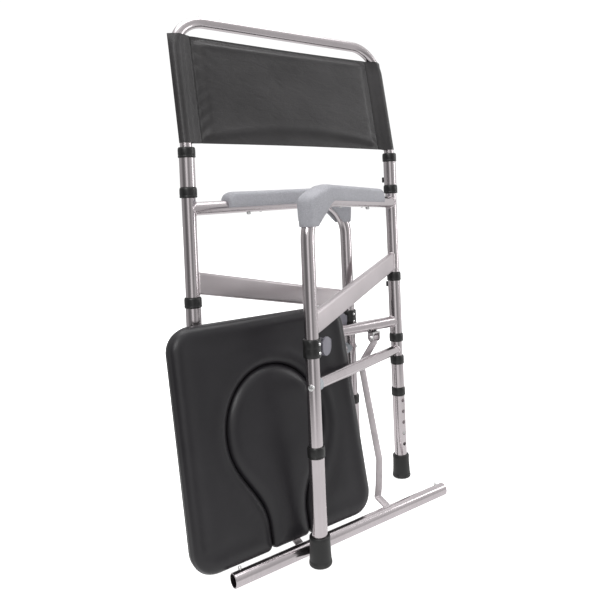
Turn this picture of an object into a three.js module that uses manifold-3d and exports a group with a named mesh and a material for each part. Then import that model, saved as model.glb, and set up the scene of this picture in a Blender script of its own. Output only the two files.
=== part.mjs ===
// Folding commode chair, shown folded. Millimetres, +Z up, the rear posts stand across X and the
// sitter faces -Y. The origin is on the floor, under the middle of the whole object.
import * as THREE from 'three';
import { mergeVertices } from 'three/addons/utils/BufferGeometryUtils.js';
import Module from 'manifold-3d';

const wasm = await Module();
wasm.setup();

// ---- Driving dimensions ----
const POST_SPACING = 500;      // between the two rear post axes
const SIDE_DEPTH = 386;        // from a rear post axis to its front leg axis
const LEFT_ANGLE = 4.3;        // degrees from +X to the folded left side frame
const RIGHT_ANGLE = 205.1;     // degrees from +X to the folded right side frame
const GAP = 0.3;               // running and seating clearance
const TOUCH = 0.1;             // between two pieces pressed together
const PAST = 5;                // how far a cutter runs past what it cuts
const SUNK = 1;                // how far a welded end is let into its tube

const BACK_TUBE_R = 11.1;      // bent tube that is the backrest and the core of both posts
const BACK_TOP = 1008;
const BACK_CORNER_R = 65;
const BACK_BOTTOM = 88;
const RAKE_START = 762;        // height where the backrest starts to lean back
const RAKE = Math.tan(THREE.MathUtils.degToRad(10));

const POST_SLEEVE_R = 14.3;    // fixed sleeves of the rear frame
const HINGE_SLEEVE_R = 12.9;   // turning sleeves of the side frames
const LEG_R = 14.6;
const COLLAR_R = 16.2;
const COLLAR_H = 19;
const COLLAR_Z = [748, 674, 471, 328, 275.5, 201.5];

const SLEEVE_PLUG_Z = [697, 451];   // black stops at the back of the fixed sleeves
const SLEEVE_PLUG = { w: 9, d: 9.6, h: 12.5 };

const CROSS_Z = 365.5;         // cross tube between the posts
const CROSS_R = 12.4;
const ARM_Z = 643.5;           // arm tube at the post
const ARM_RISE = 9;            // rise of the arm tube towards the front
const SIDE_TUBE_R = 12.7;      // arm tube and front leg
const ARM_BEND_R = 76;
const ARM_BEND_STEPS = 9;
const ARM_START = 2;           // the arm tube's end, inside its sleeve
const RAIL_H = 41;             // wide flat rail
const RAIL_T = 14;
const RAIL_REAR_Z = 510;
const RAIL_FRONT_Z = 424;
const LOWER_TUBE_R = 10.8;
const LOWER_REAR_Z = 299.5;
const LOWER_FRONT_Z = 320;
const FRONT_COLLAR_Z = 202;
const CLAMP_Z = 387;
const CLAMP_H = 33;
const CLAMP_WALL = 3.3;
const SOCKET = { play: 0.6, wall: 2.6, width: 26, rim: 16, below: 4 };   // cradle for the front bar
const LEG_INSERT_BOTTOM = 88; // inner end of the telescoping tubes

const FOOT_H = 52;
const FOOT_BOTTOM_R = 21;
const FOOT_TOP_R = 16.6;
const FOOT_FLOOR = 8;          // rubber under the tube end
const FOOT_EDGE = 1.5;         // bevel of the rubber's edges
const HOLE_R = 3.6;
const HOLE_PITCH = 25.4;
const HOLE_TOP_Z = 181;
const HOLE_COUNT = 5;
const BUTTON_HOLE = 3;         // which hole, from the top, holds the snap button
const BUTTON_R = 3.1;
const BUTTON_TRAVEL = 2;
const BUTTON_POCKET_R = 6.2;    // how near the tube's axis the button's pocket reaches
const BUTTON_STANDS = 1.6;      // how far the button stands out of the leg

const BOLT_HEAD_R = 5;         // heads of the tube bolts and of the pivot bolts
const TUBE_BOLT_HEAD_H = 4;

const BAR_Y = -127;            // front bar, lying on the floor
const BAR_R = 12.7;
const BAR_WALL = 1.6;
const BAR_LENGTH = 508;
const PIVOT = { x: 177, y: -6, z: 339 };
const STRUT_BEND = { y: -9, z: 290 };
const STRUT_LOW = { y: -80, z: 24 };
// How far the strut is set in from its pivot, from the top down.
const STRUT_SET_IN = [[329, 0], [287, 43], [90, 46], [42, 61], [24, 69]];
const STRUT_T = 4;
const STRUT_W = 16;
const STRUT_EYE_R = 7;
const PIVOT_HOLE_R = 3.4;
const PIVOT_SHANK_R = 3;
const PIVOT_HEAD_H = 3.2;
const BRACKET_WALL = 2.4;
const BRACKET_DEPTH = 15;
const BRACKET_BELOW = 8;       // how far the bracket reaches below the pivot
const BAR_PIN = { r: 3, length: 6, fromEnd: 16, lean: 0.5 };

const SEAT_W = 376;
const SEAT_D = 411;
const SEAT_T = 32;
const BOARD_T = 7;
const SEAT_CORNER_R = 42;
const SEAT_CENTRE_X = -129;
const SEAT_FOOT = { y: -100, z: 2 * BAR_R + 1.2 };   // lower back edge of the leaning seat
const SEAT_LEAN = 11.5;        // degrees from upright
const PLUG_GAP = 0.6;
const SEAT_CLIP = { w: 24, d: 16, below: 5, fromMiddle: 140, front: 70, rear: 90 };
const CUT = { top: 320, halfWide: 102, wideAt: 205, halfNeck: 41, neckEnd: 40 };
// How far the control points of the hole's curves stand from their ends.
const CUT_EASE = { neck: 65, below: 75, above: 62, top: 0.58 };

const CLOTH_BOTTOM = 766;
const CLOTH_TOP = 976;
const CLOTH_T = 8;
const PAD_START = 78;          // rear end of the arm pad, from the post axis
const PAD_SKIRT_Z = 603;       // the pad is cut level here, within the tube's bend
const PAD_HALF_W = 20;
const PAD_ABOVE = 28;          // pad top over the tube axis
const PAD_BELOW = 2;           // pad sides under the tube axis
const PAD_ROUND = 8;
const PAD_NOTCH_R = SIDE_TUBE_R + GAP;

const SEGMENTS = 18;            // round a tube
const LEG_SEGMENTS = 24;       // round a leg, a foot or the front bar
const PIN_SEGMENTS = 12;
const HOLE_SEGMENTS = 10;
const AROUND = 2 * Math.PI;

// ---- Finishes ----
const finish = {
  aluminium: { color: 0xb4b0b2, roughness: 0.32, metalness: 0.9 },
  blackPlastic: { color: 0x17171a, roughness: 0.5, metalness: 0 },
  rubber: { color: 0x1b1b1c, roughness: 0.75, metalness: 0 },
  greyFoam: { color: 0x8b9096, roughness: 0.85, metalness: 0 },
  greyPlastic: { color: 0x88868e, roughness: 0.45, metalness: 0 },
  vinyl: { color: 0x1c1b1e, roughness: 0.45, metalness: 0 },
  cloth: { color: 0x2b2a2c, roughness: 0.6, metalness: 0 },
  steel: { color: 0xcfcfd2, roughness: 0.25, metalness: 1 },
};

// ---- Solid helpers ----
function closed(geometry) {
  const plain = new THREE.BufferGeometry();
  plain.setAttribute('position', geometry.getAttribute('position').clone());
  if (geometry.index) plain.setIndex(geometry.index.clone());
  const merged = mergeVertices(plain, 1e-4);
  const kept = [];
  const index = merged.index.array;
  for (let i = 0; i < index.length; i += 3) {
    const [a, b, c] = [index[i], index[i + 1], index[i + 2]];
    if (a !== b && b !== c && c !== a) kept.push(a, b, c);
  }
  const p = merged.getAttribute('position');
  let volume = 0;
  const [u, v, w] = [new THREE.Vector3(), new THREE.Vector3(), new THREE.Vector3()];
  for (let i = 0; i < kept.length; i += 3) {
    u.fromBufferAttribute(p, kept[i]);
    v.fromBufferAttribute(p, kept[i + 1]);
    w.fromBufferAttribute(p, kept[i + 2]);
    volume += u.dot(v.cross(w));
  }
  if (volume < 0) kept.reverse();
  merged.setIndex(kept);
  return merged;
}

function solid(geometry) {
  const g = closed(geometry);
  return new wasm.Manifold(new wasm.Mesh({
    numProp: 3,
    vertProperties: new Float32Array(g.getAttribute('position').array),
    triVerts: new Uint32Array(g.index.array),
  }));
}

function geometryOf(manifold) {
  const mesh = manifold.getMesh();
  const g = new THREE.BufferGeometry();
  g.setAttribute('position', new THREE.BufferAttribute(new Float32Array(mesh.vertProperties), 3));
  g.setIndex(new THREE.BufferAttribute(new Uint32Array(mesh.triVerts), 1));
  return g;
}

function piece(name, geometry, look) {
  const g = geometry instanceof wasm.Manifold ? geometryOf(geometry) : closed(geometry);
  g.computeVertexNormals();
  const mesh = new THREE.Mesh(g, new THREE.MeshStandardMaterial(look));
  mesh.name = name;
  return mesh;
}

function joined(...geometries) {
  return geometries.map(solid).reduce((whole, next) => whole.add(next));
}

// An upright ring or, with no inner radius, a rod.
function upright(outer, inner, z0, z1, segments = SEGMENTS) {
  const profile = inner > 0
    ? [[inner, z0], [outer, z0], [outer, z1], [inner, z1], [inner, z0]]
    : [[0, z0], [outer, z0], [outer, z1], [0, z1]];
  return turned(profile, segments);
}

function turned(profile, segments = SEGMENTS) {
  const g = new THREE.LatheGeometry(profile.map(([r, z]) => new THREE.Vector2(r, z)), segments);
  g.rotateX(Math.PI / 2);
  return g;
}

// A rod or ring that lies along a direction, from a point.
function along(outer, inner, length, from, direction, segments = SEGMENTS) {
  const g = upright(outer, inner, 0, length, segments);
  const up = new THREE.Vector3(0, 0, 1);
  const turn = new THREE.Quaternion().setFromUnitVectors(up, direction.clone().normalize());
  g.applyQuaternion(turn);
  g.translate(from.x, from.y, from.z);
  return g;
}

// A path that is stepped exactly at the stations given.
class StationPath extends THREE.Curve {
  constructor(stations) {
    super();
    this.stations = stations;
  }

  getPointAt(u, target = new THREE.Vector3()) {
    const last = this.stations.length - 1;
    const i = Math.min(last - 1, Math.floor(u * last + 1e-9));
    return target.lerpVectors(this.stations[i], this.stations[i + 1], u * last - i);
  }

  getPoint(t, target) {
    return this.getPointAt(t, target);
  }

  getTangentAt(u, target = new THREE.Vector3()) {
    const last = this.stations.length - 1;
    const i = Math.round(u * last);
    const before = this.stations[Math.max(0, i - 1)];
    const after = this.stations[Math.min(last, i + 1)];
    const inward = this.stations[i].clone().sub(before).normalize();
    const outward = after.clone().sub(this.stations[i]).normalize();
    return target.copy(inward).add(outward).normalize();
  }
}

function swept(section, stations) {
  const extrudePath = new StationPath(stations);
  return new THREE.ExtrudeGeometry(section, { steps: stations.length - 1, extrudePath, curveSegments: 8 });
}

function disc(radius) {
  return new THREE.Shape().absarc(0, 0, radius, 0, AROUND, false);
}

// Points of an arc in a vertical plane, without its first point.
function arcPoints(centre, radius, fromAngle, toAngle, count, place) {
  const points = [];
  for (let i = 1; i <= count; i += 1) {
    const a = fromAngle + (toAngle - fromAngle) * (i / count);
    points.push(place(centre[0] + radius * Math.cos(a), centre[1] + radius * Math.sin(a)));
  }
  return points;
}

function rakedY(z) {
  return Math.max(0, z - RAKE_START) * RAKE;
}

// ---- Rear frame ----
function backTube() {
  const half = POST_SPACING / 2;
  const at = (x, z) => new THREE.Vector3(x, rakedY(z), z);
  const corner = [half - BACK_CORNER_R, BACK_TOP - BACK_CORNER_R];
  const right = [at(half, BACK_BOTTOM), at(half, RAKE_START), at(half, corner[1])];
  right.push(...arcPoints(corner, BACK_CORNER_R, 0, Math.PI / 2, 8, at));
  const left = right.map((p) => new THREE.Vector3(-p.x, p.y, p.z));
  const forward = new THREE.Vector3(0, -1, 0);
  const tube = solid(swept(disc(BACK_TUBE_R), [...left, ...right.reverse()]));
  const pockets = [-half, half].map((x) => solid(buttonPocket(forward).translate(x, 0, 0)));
  return tube.subtract(pockets[0]).subtract(pockets[1]);
}

function sleeveSpan(upper, lower) {
  return [COLLAR_Z[lower] + COLLAR_H / 2, COLLAR_Z[upper] - COLLAR_H / 2];
}

function rearCrossbar() {
  const half = POST_SPACING / 2;
  const [z0, z1] = sleeveSpan(2, 3);
  const across = new THREE.Vector3(1, 0, 0);
  const start = new THREE.Vector3(-half, 0, CROSS_Z);
  let body = joined(along(CROSS_R, 0, POST_SPACING, start, across));
  for (const side of [-1, 1]) {
    body = body.add(solid(upright(POST_SLEEVE_R, 0, z0, z1).translate(side * half, 0, 0)));
  }
  for (const side of [-1, 1]) {
    const bore = upright(BACK_TUBE_R + GAP, 0, z0 - PAST, z1 + PAST);
    body = body.subtract(solid(bore.translate(side * half, 0, 0)));
  }
  return body;
}

function postCollar(z) {
  return upright(COLLAR_R, BACK_TUBE_R + GAP, z - COLLAR_H / 2, z + COLLAR_H / 2);
}

function legTube(top, inner, holeDirection) {
  let tube = solid(upright(LEG_R, inner, FOOT_FLOOR + GAP, top, LEG_SEGMENTS));
  for (let i = 0; i < HOLE_COUNT; i += 1) {
    const centre = new THREE.Vector3(0, 0, HOLE_TOP_Z - i * HOLE_PITCH);
    tube = tube.subtract(solid(along(HOLE_R, 0, LEG_R + PAST, centre, holeDirection, HOLE_SEGMENTS)));
  }
  return tube;
}

function rubberFoot() {
  const inner = LEG_R + GAP;
  return turned([
    [0, 0], [FOOT_BOTTOM_R - FOOT_EDGE, 0], [FOOT_BOTTOM_R, FOOT_EDGE], [FOOT_BOTTOM_R, FOOT_FLOOR],
    [FOOT_TOP_R, FOOT_H - FOOT_EDGE], [FOOT_TOP_R - FOOT_EDGE / 3, FOOT_H],
    [inner, FOOT_H], [inner, FOOT_FLOOR], [0, FOOT_FLOOR],
  ], LEG_SEGMENTS);
}

function buttonCentre() {
  return new THREE.Vector3(0, 0, HOLE_TOP_Z - BUTTON_HOLE * HOLE_PITCH);
}

// Room in the inner tube for a pressed button.
function buttonPocket(direction) {
  const from = buttonCentre().addScaledVector(direction, BUTTON_POCKET_R);
  return along(BUTTON_R + GAP, 0, LEG_R, from, direction, PIN_SEGMENTS);
}

function snapButton(direction) {
  const inner = BUTTON_POCKET_R + GAP + BUTTON_TRAVEL;
  const from = buttonCentre().addScaledVector(direction, inner);
  return along(BUTTON_R, 0, LEG_R + BUTTON_STANDS - inner, from, direction, HOLE_SEGMENTS);
}

function rearPost(side, label) {
  const post = new THREE.Group();
  post.position.x = side * POST_SPACING / 2;
  const bore = BACK_TUBE_R + GAP;
  const [upperZ0, upperZ1] = sleeveSpan(0, 1);
  const [lowerZ0, lowerZ1] = sleeveSpan(4, 5);
  const legTop = COLLAR_Z[5] - COLLAR_H / 2;
  const forward = new THREE.Vector3(0, -1, 0);
  const sleeve = (z0, z1) => upright(POST_SLEEVE_R, bore, z0, z1);
  post.add(piece(`upper_sleeve_${label}`, sleeve(upperZ0, upperZ1), finish.aluminium));
  COLLAR_Z.forEach((z, i) => {
    post.add(piece(`post_collar_${i + 1}_${label}`, postCollar(z), finish.blackPlastic));
  });
  post.add(piece(`lower_sleeve_${label}`, sleeve(lowerZ0, lowerZ1), finish.aluminium));
  post.add(piece(`rear_leg_${label}`, legTube(legTop, bore, forward), finish.aluminium));
  post.add(piece(`rear_foot_${label}`, rubberFoot(), finish.rubber));
  post.add(piece(`rear_leg_button_${label}`, snapButton(forward), finish.steel));
  SLEEVE_PLUG_Z.forEach((z, i) => {
    const plug = new THREE.BoxGeometry(SLEEVE_PLUG.w, SLEEVE_PLUG.d, SLEEVE_PLUG.h);
    plug.translate(0, POST_SLEEVE_R + TOUCH + SLEEVE_PLUG.d / 2, z);
    post.add(piece(`sleeve_plug_${i + 1}_${label}`, plug, finish.blackPlastic));
  });
  return post;
}

// ---- Side frames: built along +X from the post axis, then turned to their folded angle ----
const armSlope = ARM_RISE / SIDE_DEPTH;
const armHeight = (s) => ARM_Z + armSlope * s;

function armStations(start, endZ) {
  const at = (s, z) => new THREE.Vector3(s, 0, z);
  const tilt = Math.atan(armSlope);
  const bendS = SIDE_DEPTH - ARM_BEND_R;
  const drop = ARM_BEND_R / Math.cos(tilt);
  const centre = [bendS, armHeight(bendS) - drop];
  const arc = arcPoints(centre, ARM_BEND_R, Math.PI / 2 + tilt, 0, ARM_BEND_STEPS, at);
  const bendStart = at(bendS - ARM_BEND_R * Math.sin(tilt), armHeight(bendS));
  return [at(start, armHeight(start)), bendStart, ...arc, at(SIDE_DEPTH, endZ)];
}

function cutAtPost(body, radius) {
  return body.subtract(solid(upright(radius + GAP, 0, 0, BACK_TOP, LEG_SEGMENTS)));
}

function cutAtLeg(body) {
  const leg = upright(SIDE_TUBE_R + GAP, 0, 0, BACK_TOP, LEG_SEGMENTS);
  return body.subtract(solid(leg.translate(SIDE_DEPTH, 0, 0)));
}

// A tube welded to the sleeve that turns on the post.
function weldedToSleeve(tube, z0, z1) {
  const sleeve = solid(upright(HINGE_SLEEVE_R, 0, z0, z1));
  const bore = solid(upright(BACK_TUBE_R + GAP, 0, z0 - PAST, z1 + PAST));
  return tube.add(sleeve).subtract(bore);
}

// Arm tube and front leg in one bent tube, with the head of the bolt that holds the lower tube.
function armTube() {
  const tube = swept(disc(SIDE_TUBE_R), armStations(ARM_START, LEG_INSERT_BOTTOM));
  const boltSeat = new THREE.Vector3(SIDE_DEPTH + SIDE_TUBE_R - SUNK, 0, LOWER_FRONT_Z);
  const outward = new THREE.Vector3(1, 0, 0);
  const boltHead = along(BOLT_HEAD_R, 0, TUBE_BOLT_HEAD_H, boltSeat, outward, PIN_SEGMENTS);
  const pocket = buttonPocket(new THREE.Vector3(-1, 0, 0)).translate(SIDE_DEPTH, 0, 0);
  return weldedToSleeve(joined(tube, boltHead).subtract(solid(pocket)), ...sleeveSpan(1, 2));
}

function sideBeam(section, rearZ, frontZ) {
  const stations = [new THREE.Vector3(0, 0, rearZ), new THREE.Vector3(SIDE_DEPTH, 0, frontZ)];
  return cutAtLeg(solid(swept(section, stations)));
}

// A flat oval: two straight sides with round ends, tall in Z.
function ovalSection(height, thickness) {
  const r = thickness / 2;
  const straight = height / 2 - r;
  const shape = new THREE.Shape();
  shape.absarc(0, straight, r, 0, Math.PI, false);
  shape.absarc(0, -straight, r, Math.PI, AROUND, false);
  return shape;
}

// Inverted channel that sits over the arm tube; +y of the section points down.
function padSection() {
  const w = PAD_HALF_W;
  const shape = new THREE.Shape();
  shape.moveTo(-w, PAD_BELOW);
  shape.lineTo(-w, PAD_ROUND - PAD_ABOVE);
  shape.quadraticCurveTo(-w, -PAD_ABOVE, PAD_ROUND - w, -PAD_ABOVE);
  shape.lineTo(w - PAD_ROUND, -PAD_ABOVE);
  shape.quadraticCurveTo(w, -PAD_ABOVE, w, PAD_ROUND - PAD_ABOVE);
  shape.lineTo(w, PAD_BELOW);
  shape.lineTo(PAD_NOTCH_R, PAD_BELOW);
  shape.absarc(0, 0, PAD_NOTCH_R, 0, -Math.PI, true);
  shape.lineTo(-PAD_NOTCH_R, PAD_BELOW);
  shape.closePath();
  return shape;
}

// The pad follows the arm tube into its bend and ends in a level skirt.
function armPad() {
  const whole = solid(swept(padSection(), armStations(PAD_START, LOWER_FRONT_Z)));
  const below = new THREE.BoxGeometry(4 * SIDE_DEPTH, 4 * PAD_HALF_W, PAD_SKIRT_Z);
  return whole.subtract(solid(below.translate(0, 0, PAD_SKIRT_Z / 2)));
}

// Cradle for the front bar, open at the top.
function barSocket() {
  const inner = BAR_R + SOCKET.play;
  const outer = inner + SOCKET.wall;
  const centre = SIDE_DEPTH - SIDE_TUBE_R - CLAMP_WALL - 3 * GAP - outer;
  const rim = CLAMP_Z + SOCKET.rim;
  const axisZ = CLAMP_Z - SOCKET.below;
  const shape = new THREE.Shape();
  shape.moveTo(centre - outer, rim);
  shape.lineTo(centre - outer, axisZ);
  shape.absarc(centre, axisZ, outer, Math.PI, AROUND, false);
  shape.lineTo(centre + outer, rim);
  shape.lineTo(centre + inner, rim);
  shape.absarc(centre, axisZ, inner, AROUND, Math.PI, true);
  shape.lineTo(centre - inner, rim);
  shape.closePath();
  const depth = SOCKET.width;
  const g = new THREE.ExtrudeGeometry(shape, { depth, bevelEnabled: false, curveSegments: 8 });
  g.rotateX(Math.PI / 2);
  g.translate(0, depth / 2, 0);
  return g;
}

function sideFrame(side, label, angle) {
  const frame = new THREE.Group();
  frame.position.x = side * POST_SPACING / 2;
  frame.rotation.z = THREE.MathUtils.degToRad(angle);
  const rail = cutAtPost(sideBeam(ovalSection(RAIL_H, RAIL_T), RAIL_REAR_Z, RAIL_FRONT_Z), HINGE_SLEEVE_R);
  const lowerTube = sideBeam(disc(LOWER_TUBE_R), LOWER_REAR_Z, LOWER_FRONT_Z);
  const legTop = FRONT_COLLAR_Z - COLLAR_H / 2;
  const towardsPost = new THREE.Vector3(-1, 0, 0);
  const onLeg = (geometry) => geometry.translate(SIDE_DEPTH, 0, 0);
  const collar = upright(COLLAR_R, SIDE_TUBE_R + GAP, legTop, legTop + COLLAR_H);
  const [clampZ0, clampZ1] = [CLAMP_Z - CLAMP_H / 2, CLAMP_Z + CLAMP_H / 2];
  const clamp = upright(SIDE_TUBE_R + GAP + CLAMP_WALL, SIDE_TUBE_R + GAP, clampZ0, clampZ1, LEG_SEGMENTS);
  const add = (name, geometry, look) => frame.add(piece(`${name}_${label}`, geometry, look));
  add('arm_tube', armTube(), finish.aluminium);
  add('wide_rail', rail, finish.aluminium);
  add('lower_side_tube', weldedToSleeve(lowerTube, ...sleeveSpan(3, 4)), finish.aluminium);
  add('arm_pad', armPad(), finish.greyFoam);
  add('leg_clamp', onLeg(clamp), finish.blackPlastic);
  add('bar_socket', barSocket(), finish.greyPlastic);
  add('front_collar', onLeg(collar), finish.blackPlastic);
  add('front_leg', onLeg(geometryOf(legTube(legTop, SIDE_TUBE_R + GAP, towardsPost))), finish.aluminium);
  add('front_foot', onLeg(rubberFoot()), finish.rubber);
  add('front_leg_button', onLeg(snapButton(towardsPost)), finish.steel);
  return frame;
}

// ---- Front bar on its two swinging struts ----
// A flat bar whose width lies along X, through stations that run down.
function flatBar(stations, width, thickness) {
  const positions = [];
  const index = [];
  stations.forEach((p, i) => {
    const before = stations[Math.max(0, i - 1)];
    const after = stations[Math.min(stations.length - 1, i + 1)];
    const run = new THREE.Vector2(after.y - before.y, after.z - before.z).setLength(thickness / 2);
    for (const [across, over] of [[-1, 1], [1, 1], [1, -1], [-1, -1]]) {
      positions.push(p.x + across * width / 2, p.y - over * run.y, p.z + over * run.x);
    }
    if (i === 0) return;
    for (let k = 0; k < 4; k += 1) {
      const [low, high] = [4 * i - 4, 4 * i];
      const next = (k + 1) % 4;
      index.push(low + k, low + next, high + next, low + k, high + next, high + k);
    }
  });
  const last = positions.length / 3 - 4;
  index.push(0, 2, 1, 0, 3, 2, last, last + 1, last + 2, last, last + 2, last + 3);
  const g = new THREE.BufferGeometry();
  g.setAttribute('position', new THREE.Float32BufferAttribute(positions, 3));
  g.setIndex(index);
  return g;
}

// Turns a shape drawn in Y and Z into a slab across X.
function acrossX(shape, width) {
  const g = new THREE.ExtrudeGeometry(shape, { depth: width, bevelEnabled: false, curveSegments: 6 });
  g.translate(0, 0, -width / 2);
  g.applyMatrix4(new THREE.Matrix4().set(0, 0, 1, 0, 1, 0, 0, 0, 0, 1, 0, 0, 0, 0, 0, 1));
  return g;
}

// The strut's middle line, seen from the side: nearly upright down to the bend, then forward.
function strutY(z) {
  const [from, to] = z > STRUT_BEND.z ? [PIVOT, STRUT_BEND] : [STRUT_BEND, STRUT_LOW];
  return from.y + (to.y - from.y) * (z - from.z) / (to.z - from.z);
}

function strut(side) {
  const stations = [[PIVOT.z, 0], ...STRUT_SET_IN].map(([z, inwards]) => (
    new THREE.Vector3(-side * inwards, strutY(z), z)));
  const onBar = stations.at(-1).clone().setY(BAR_Y + BAR_R + GAP + 4 * TOUCH).setZ(BAR_R);
  const flat = flatBar([...stations, onBar], STRUT_W, STRUT_T);
  const round = (radius) => new THREE.Shape().absarc(PIVOT.y, PIVOT.z, radius, 0, AROUND, false);
  const eye = acrossX(round(STRUT_EYE_R), STRUT_W);
  const hole = acrossX(round(PIVOT_HOLE_R), STRUT_W + PAST);
  return geometryOf(joined(flat, eye).subtract(solid(hole))).translate(side * PIVOT.x, 0, 0);
}

const bracketHalf = STRUT_W / 2 + GAP + BRACKET_WALL;

function pivotBracket(side) {
  const half = bracketHalf;
  const inner = half - BRACKET_WALL;
  const top = CROSS_Z - CROSS_R - 2 * TOUCH;
  const bottom = PIVOT.z - BRACKET_BELOW;
  const shape = new THREE.Shape([
    [-half, bottom], [-half, top], [half, top], [half, bottom], [inner, bottom],
    [inner, top - BRACKET_WALL], [-inner, top - BRACKET_WALL], [-inner, bottom],
  ].map(([x, z]) => new THREE.Vector2(x, z)));
  const g = new THREE.ExtrudeGeometry(shape, { depth: BRACKET_DEPTH, bevelEnabled: false });
  g.rotateX(Math.PI / 2);
  g.translate(0, PIVOT.y + BRACKET_DEPTH / 2, 0);
  const start = new THREE.Vector3(-half - PAST, PIVOT.y, PIVOT.z);
  const across = new THREE.Vector3(1, 0, 0);
  const hole = along(PIVOT_HOLE_R, 0, 2 * (half + PAST), start, across, PIN_SEGMENTS);
  return geometryOf(solid(g).subtract(solid(hole))).translate(side * PIVOT.x, 0, 0);
}

function pivotBolt(side) {
  const outward = new THREE.Vector3(1, 0, 0);
  const at = (x) => new THREE.Vector3(x, PIVOT.y, PIVOT.z);
  const headAt = bracketHalf + 2 * TOUCH;
  const shankL = 2 * headAt + PIVOT_HEAD_H;
  const shank = along(PIVOT_SHANK_R, 0, shankL, at(-headAt - PIVOT_HEAD_H), outward, PIN_SEGMENTS);
  const head = along(BOLT_HEAD_R, 0, PIVOT_HEAD_H, at(headAt), outward, PIN_SEGMENTS);
  const nut = along(BOLT_HEAD_R, 0, PIVOT_HEAD_H, at(-headAt - PIVOT_HEAD_H), outward, 6);
  return geometryOf(joined(shank, head, nut)).translate(side * PIVOT.x, 0, 0);
}

// The bar has a locating pin welded near each end.
function frontBar() {
  const from = new THREE.Vector3(-BAR_LENGTH / 2, BAR_Y, BAR_R);
  const tube = along(BAR_R, BAR_R - BAR_WALL, BAR_LENGTH, from, new THREE.Vector3(1, 0, 0), LEG_SEGMENTS);
  const up = new THREE.Vector3(0, BAR_PIN.lean, 1).normalize();
  const seat = (x) => new THREE.Vector3(x, BAR_Y, BAR_R).addScaledVector(up, BAR_R - BAR_WALL / 2);
  const pinX = BAR_LENGTH / 2 - BAR_PIN.fromEnd;
  const pins = [-pinX, pinX].map((x) => along(BAR_PIN.r, 0, BAR_PIN.length, seat(x), up, HOLE_SEGMENTS));
  return joined(tube, ...pins);
}

// ---- Seat: drawn flat with x across and y from the front edge, then leant on the rear frame ----
// Half outline of the hole, from the front edge to its rear end, on the +x side.
function holeSide(inset) {
  const neck = CUT.halfNeck - inset;
  const wide = CUT.halfWide - inset;
  const at = (x, y) => new THREE.Vector2(x, y);
  const rear = CUT.top - inset;
  return [
    new THREE.LineCurve(at(neck, 0), at(neck, CUT.neckEnd)),
    new THREE.CubicBezierCurve(
      at(neck, CUT.neckEnd),
      at(neck, CUT.neckEnd + CUT_EASE.neck),
      at(wide, CUT.wideAt - CUT_EASE.below),
      at(wide, CUT.wideAt),
    ),
    new THREE.CubicBezierCurve(
      at(wide, CUT.wideAt),
      at(wide, CUT.wideAt + CUT_EASE.above),
      at(wide * CUT_EASE.top, rear),
      at(0, rear),
    ),
  ];
}

function holePoints(inset) {
  const side = holeSide(inset).flatMap((curve) => curve.getPoints(curve.isLineCurve ? 1 : 9).slice(1));
  const start = new THREE.Vector2(CUT.halfNeck - inset, 0);
  const right = [start, ...side];
  const left = right.slice(0, -1).map((p) => new THREE.Vector2(-p.x, p.y)).reverse();
  return { right, left };
}

function seatOutline() {
  const { right, left } = holePoints(0);
  const half = SEAT_W / 2;
  const r = SEAT_CORNER_R;
  const corner = (cx, cy, from) => {
    const points = [];
    for (let i = 0; i <= 6; i += 1) {
      const a = from + (Math.PI / 2) * (i / 6);
      points.push(new THREE.Vector2(cx + r * Math.cos(a), cy + r * Math.sin(a)));
    }
    return points;
  };
  return new THREE.Shape([
    ...corner(half - r, r, -Math.PI / 2),
    ...corner(half - r, SEAT_D - r, 0),
    ...corner(-half + r, SEAT_D - r, Math.PI / 2),
    ...corner(-half + r, r, Math.PI),
    ...[...left].reverse(),
    ...[...right].reverse(),
  ]);
}

function plugOutline() {
  const { right, left } = holePoints(PLUG_GAP);
  return new THREE.Shape([...right, ...left]);
}

function slab(outline, z0, z1) {
  const g = new THREE.ExtrudeGeometry(outline, { depth: z1 - z0, bevelEnabled: false });
  g.translate(0, 0, z0);
  return g;
}

// Rigid board under the cushion, with four clips that sit on the tubes in use.
function seatBoard() {
  const parts = [slab(seatOutline(), 0, BOARD_T)];
  const clipH = SEAT_CLIP.below + 1;
  for (const x of [-SEAT_CLIP.fromMiddle, SEAT_CLIP.fromMiddle]) {
    for (const y of [SEAT_CLIP.front, SEAT_D - SEAT_CLIP.rear]) {
      const clip = new THREE.BoxGeometry(SEAT_CLIP.w, SEAT_CLIP.d, clipH);
      parts.push(clip.translate(x, y, clipH / 2 - SEAT_CLIP.below));
    }
  }
  return joined(...parts);
}

function seat() {
  const group = new THREE.Group();
  group.position.set(SEAT_CENTRE_X, SEAT_FOOT.y, SEAT_FOOT.z);
  group.rotation.x = THREE.MathUtils.degToRad(90 - SEAT_LEAN);
  group.add(piece('seat_cushion', slab(seatOutline(), BOARD_T + GAP, SEAT_T), finish.vinyl));
  group.add(piece('seat_plug', slab(plugOutline(), 0, SEAT_T), finish.vinyl));
  group.add(piece('seat_board', seatBoard(), finish.blackPlastic));
  return group;
}

// ---- Backrest cloth ----
function backrest() {
  const inner = POST_SPACING / 2 - BACK_TUBE_R - GAP;
  const bend = { x: POST_SPACING / 2 - BACK_CORNER_R, z: BACK_TOP - BACK_CORNER_R };
  const bendR = inner - bend.x;
  const topAngle = Math.asin((CLOTH_TOP - bend.z) / bendR);
  const shape = new THREE.Shape();
  shape.moveTo(-inner, CLOTH_BOTTOM);
  shape.lineTo(inner, CLOTH_BOTTOM);
  shape.lineTo(inner, bend.z);
  shape.absarc(bend.x, bend.z, bendR, 0, topAngle, false);
  shape.absarc(-bend.x, bend.z, bendR, Math.PI - topAngle, Math.PI, false);
  shape.closePath();
  const g = new THREE.ExtrudeGeometry(shape, { depth: CLOTH_T, bevelEnabled: false, curveSegments: 6 });
  g.rotateX(Math.PI / 2);
  g.translate(0, CLOTH_T / 2, 0);
  const p = g.getAttribute('position');
  for (let i = 0; i < p.count; i += 1) {
    p.setY(i, p.getY(i) + rakedY(p.getZ(i)));
  }
  return g;
}

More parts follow.
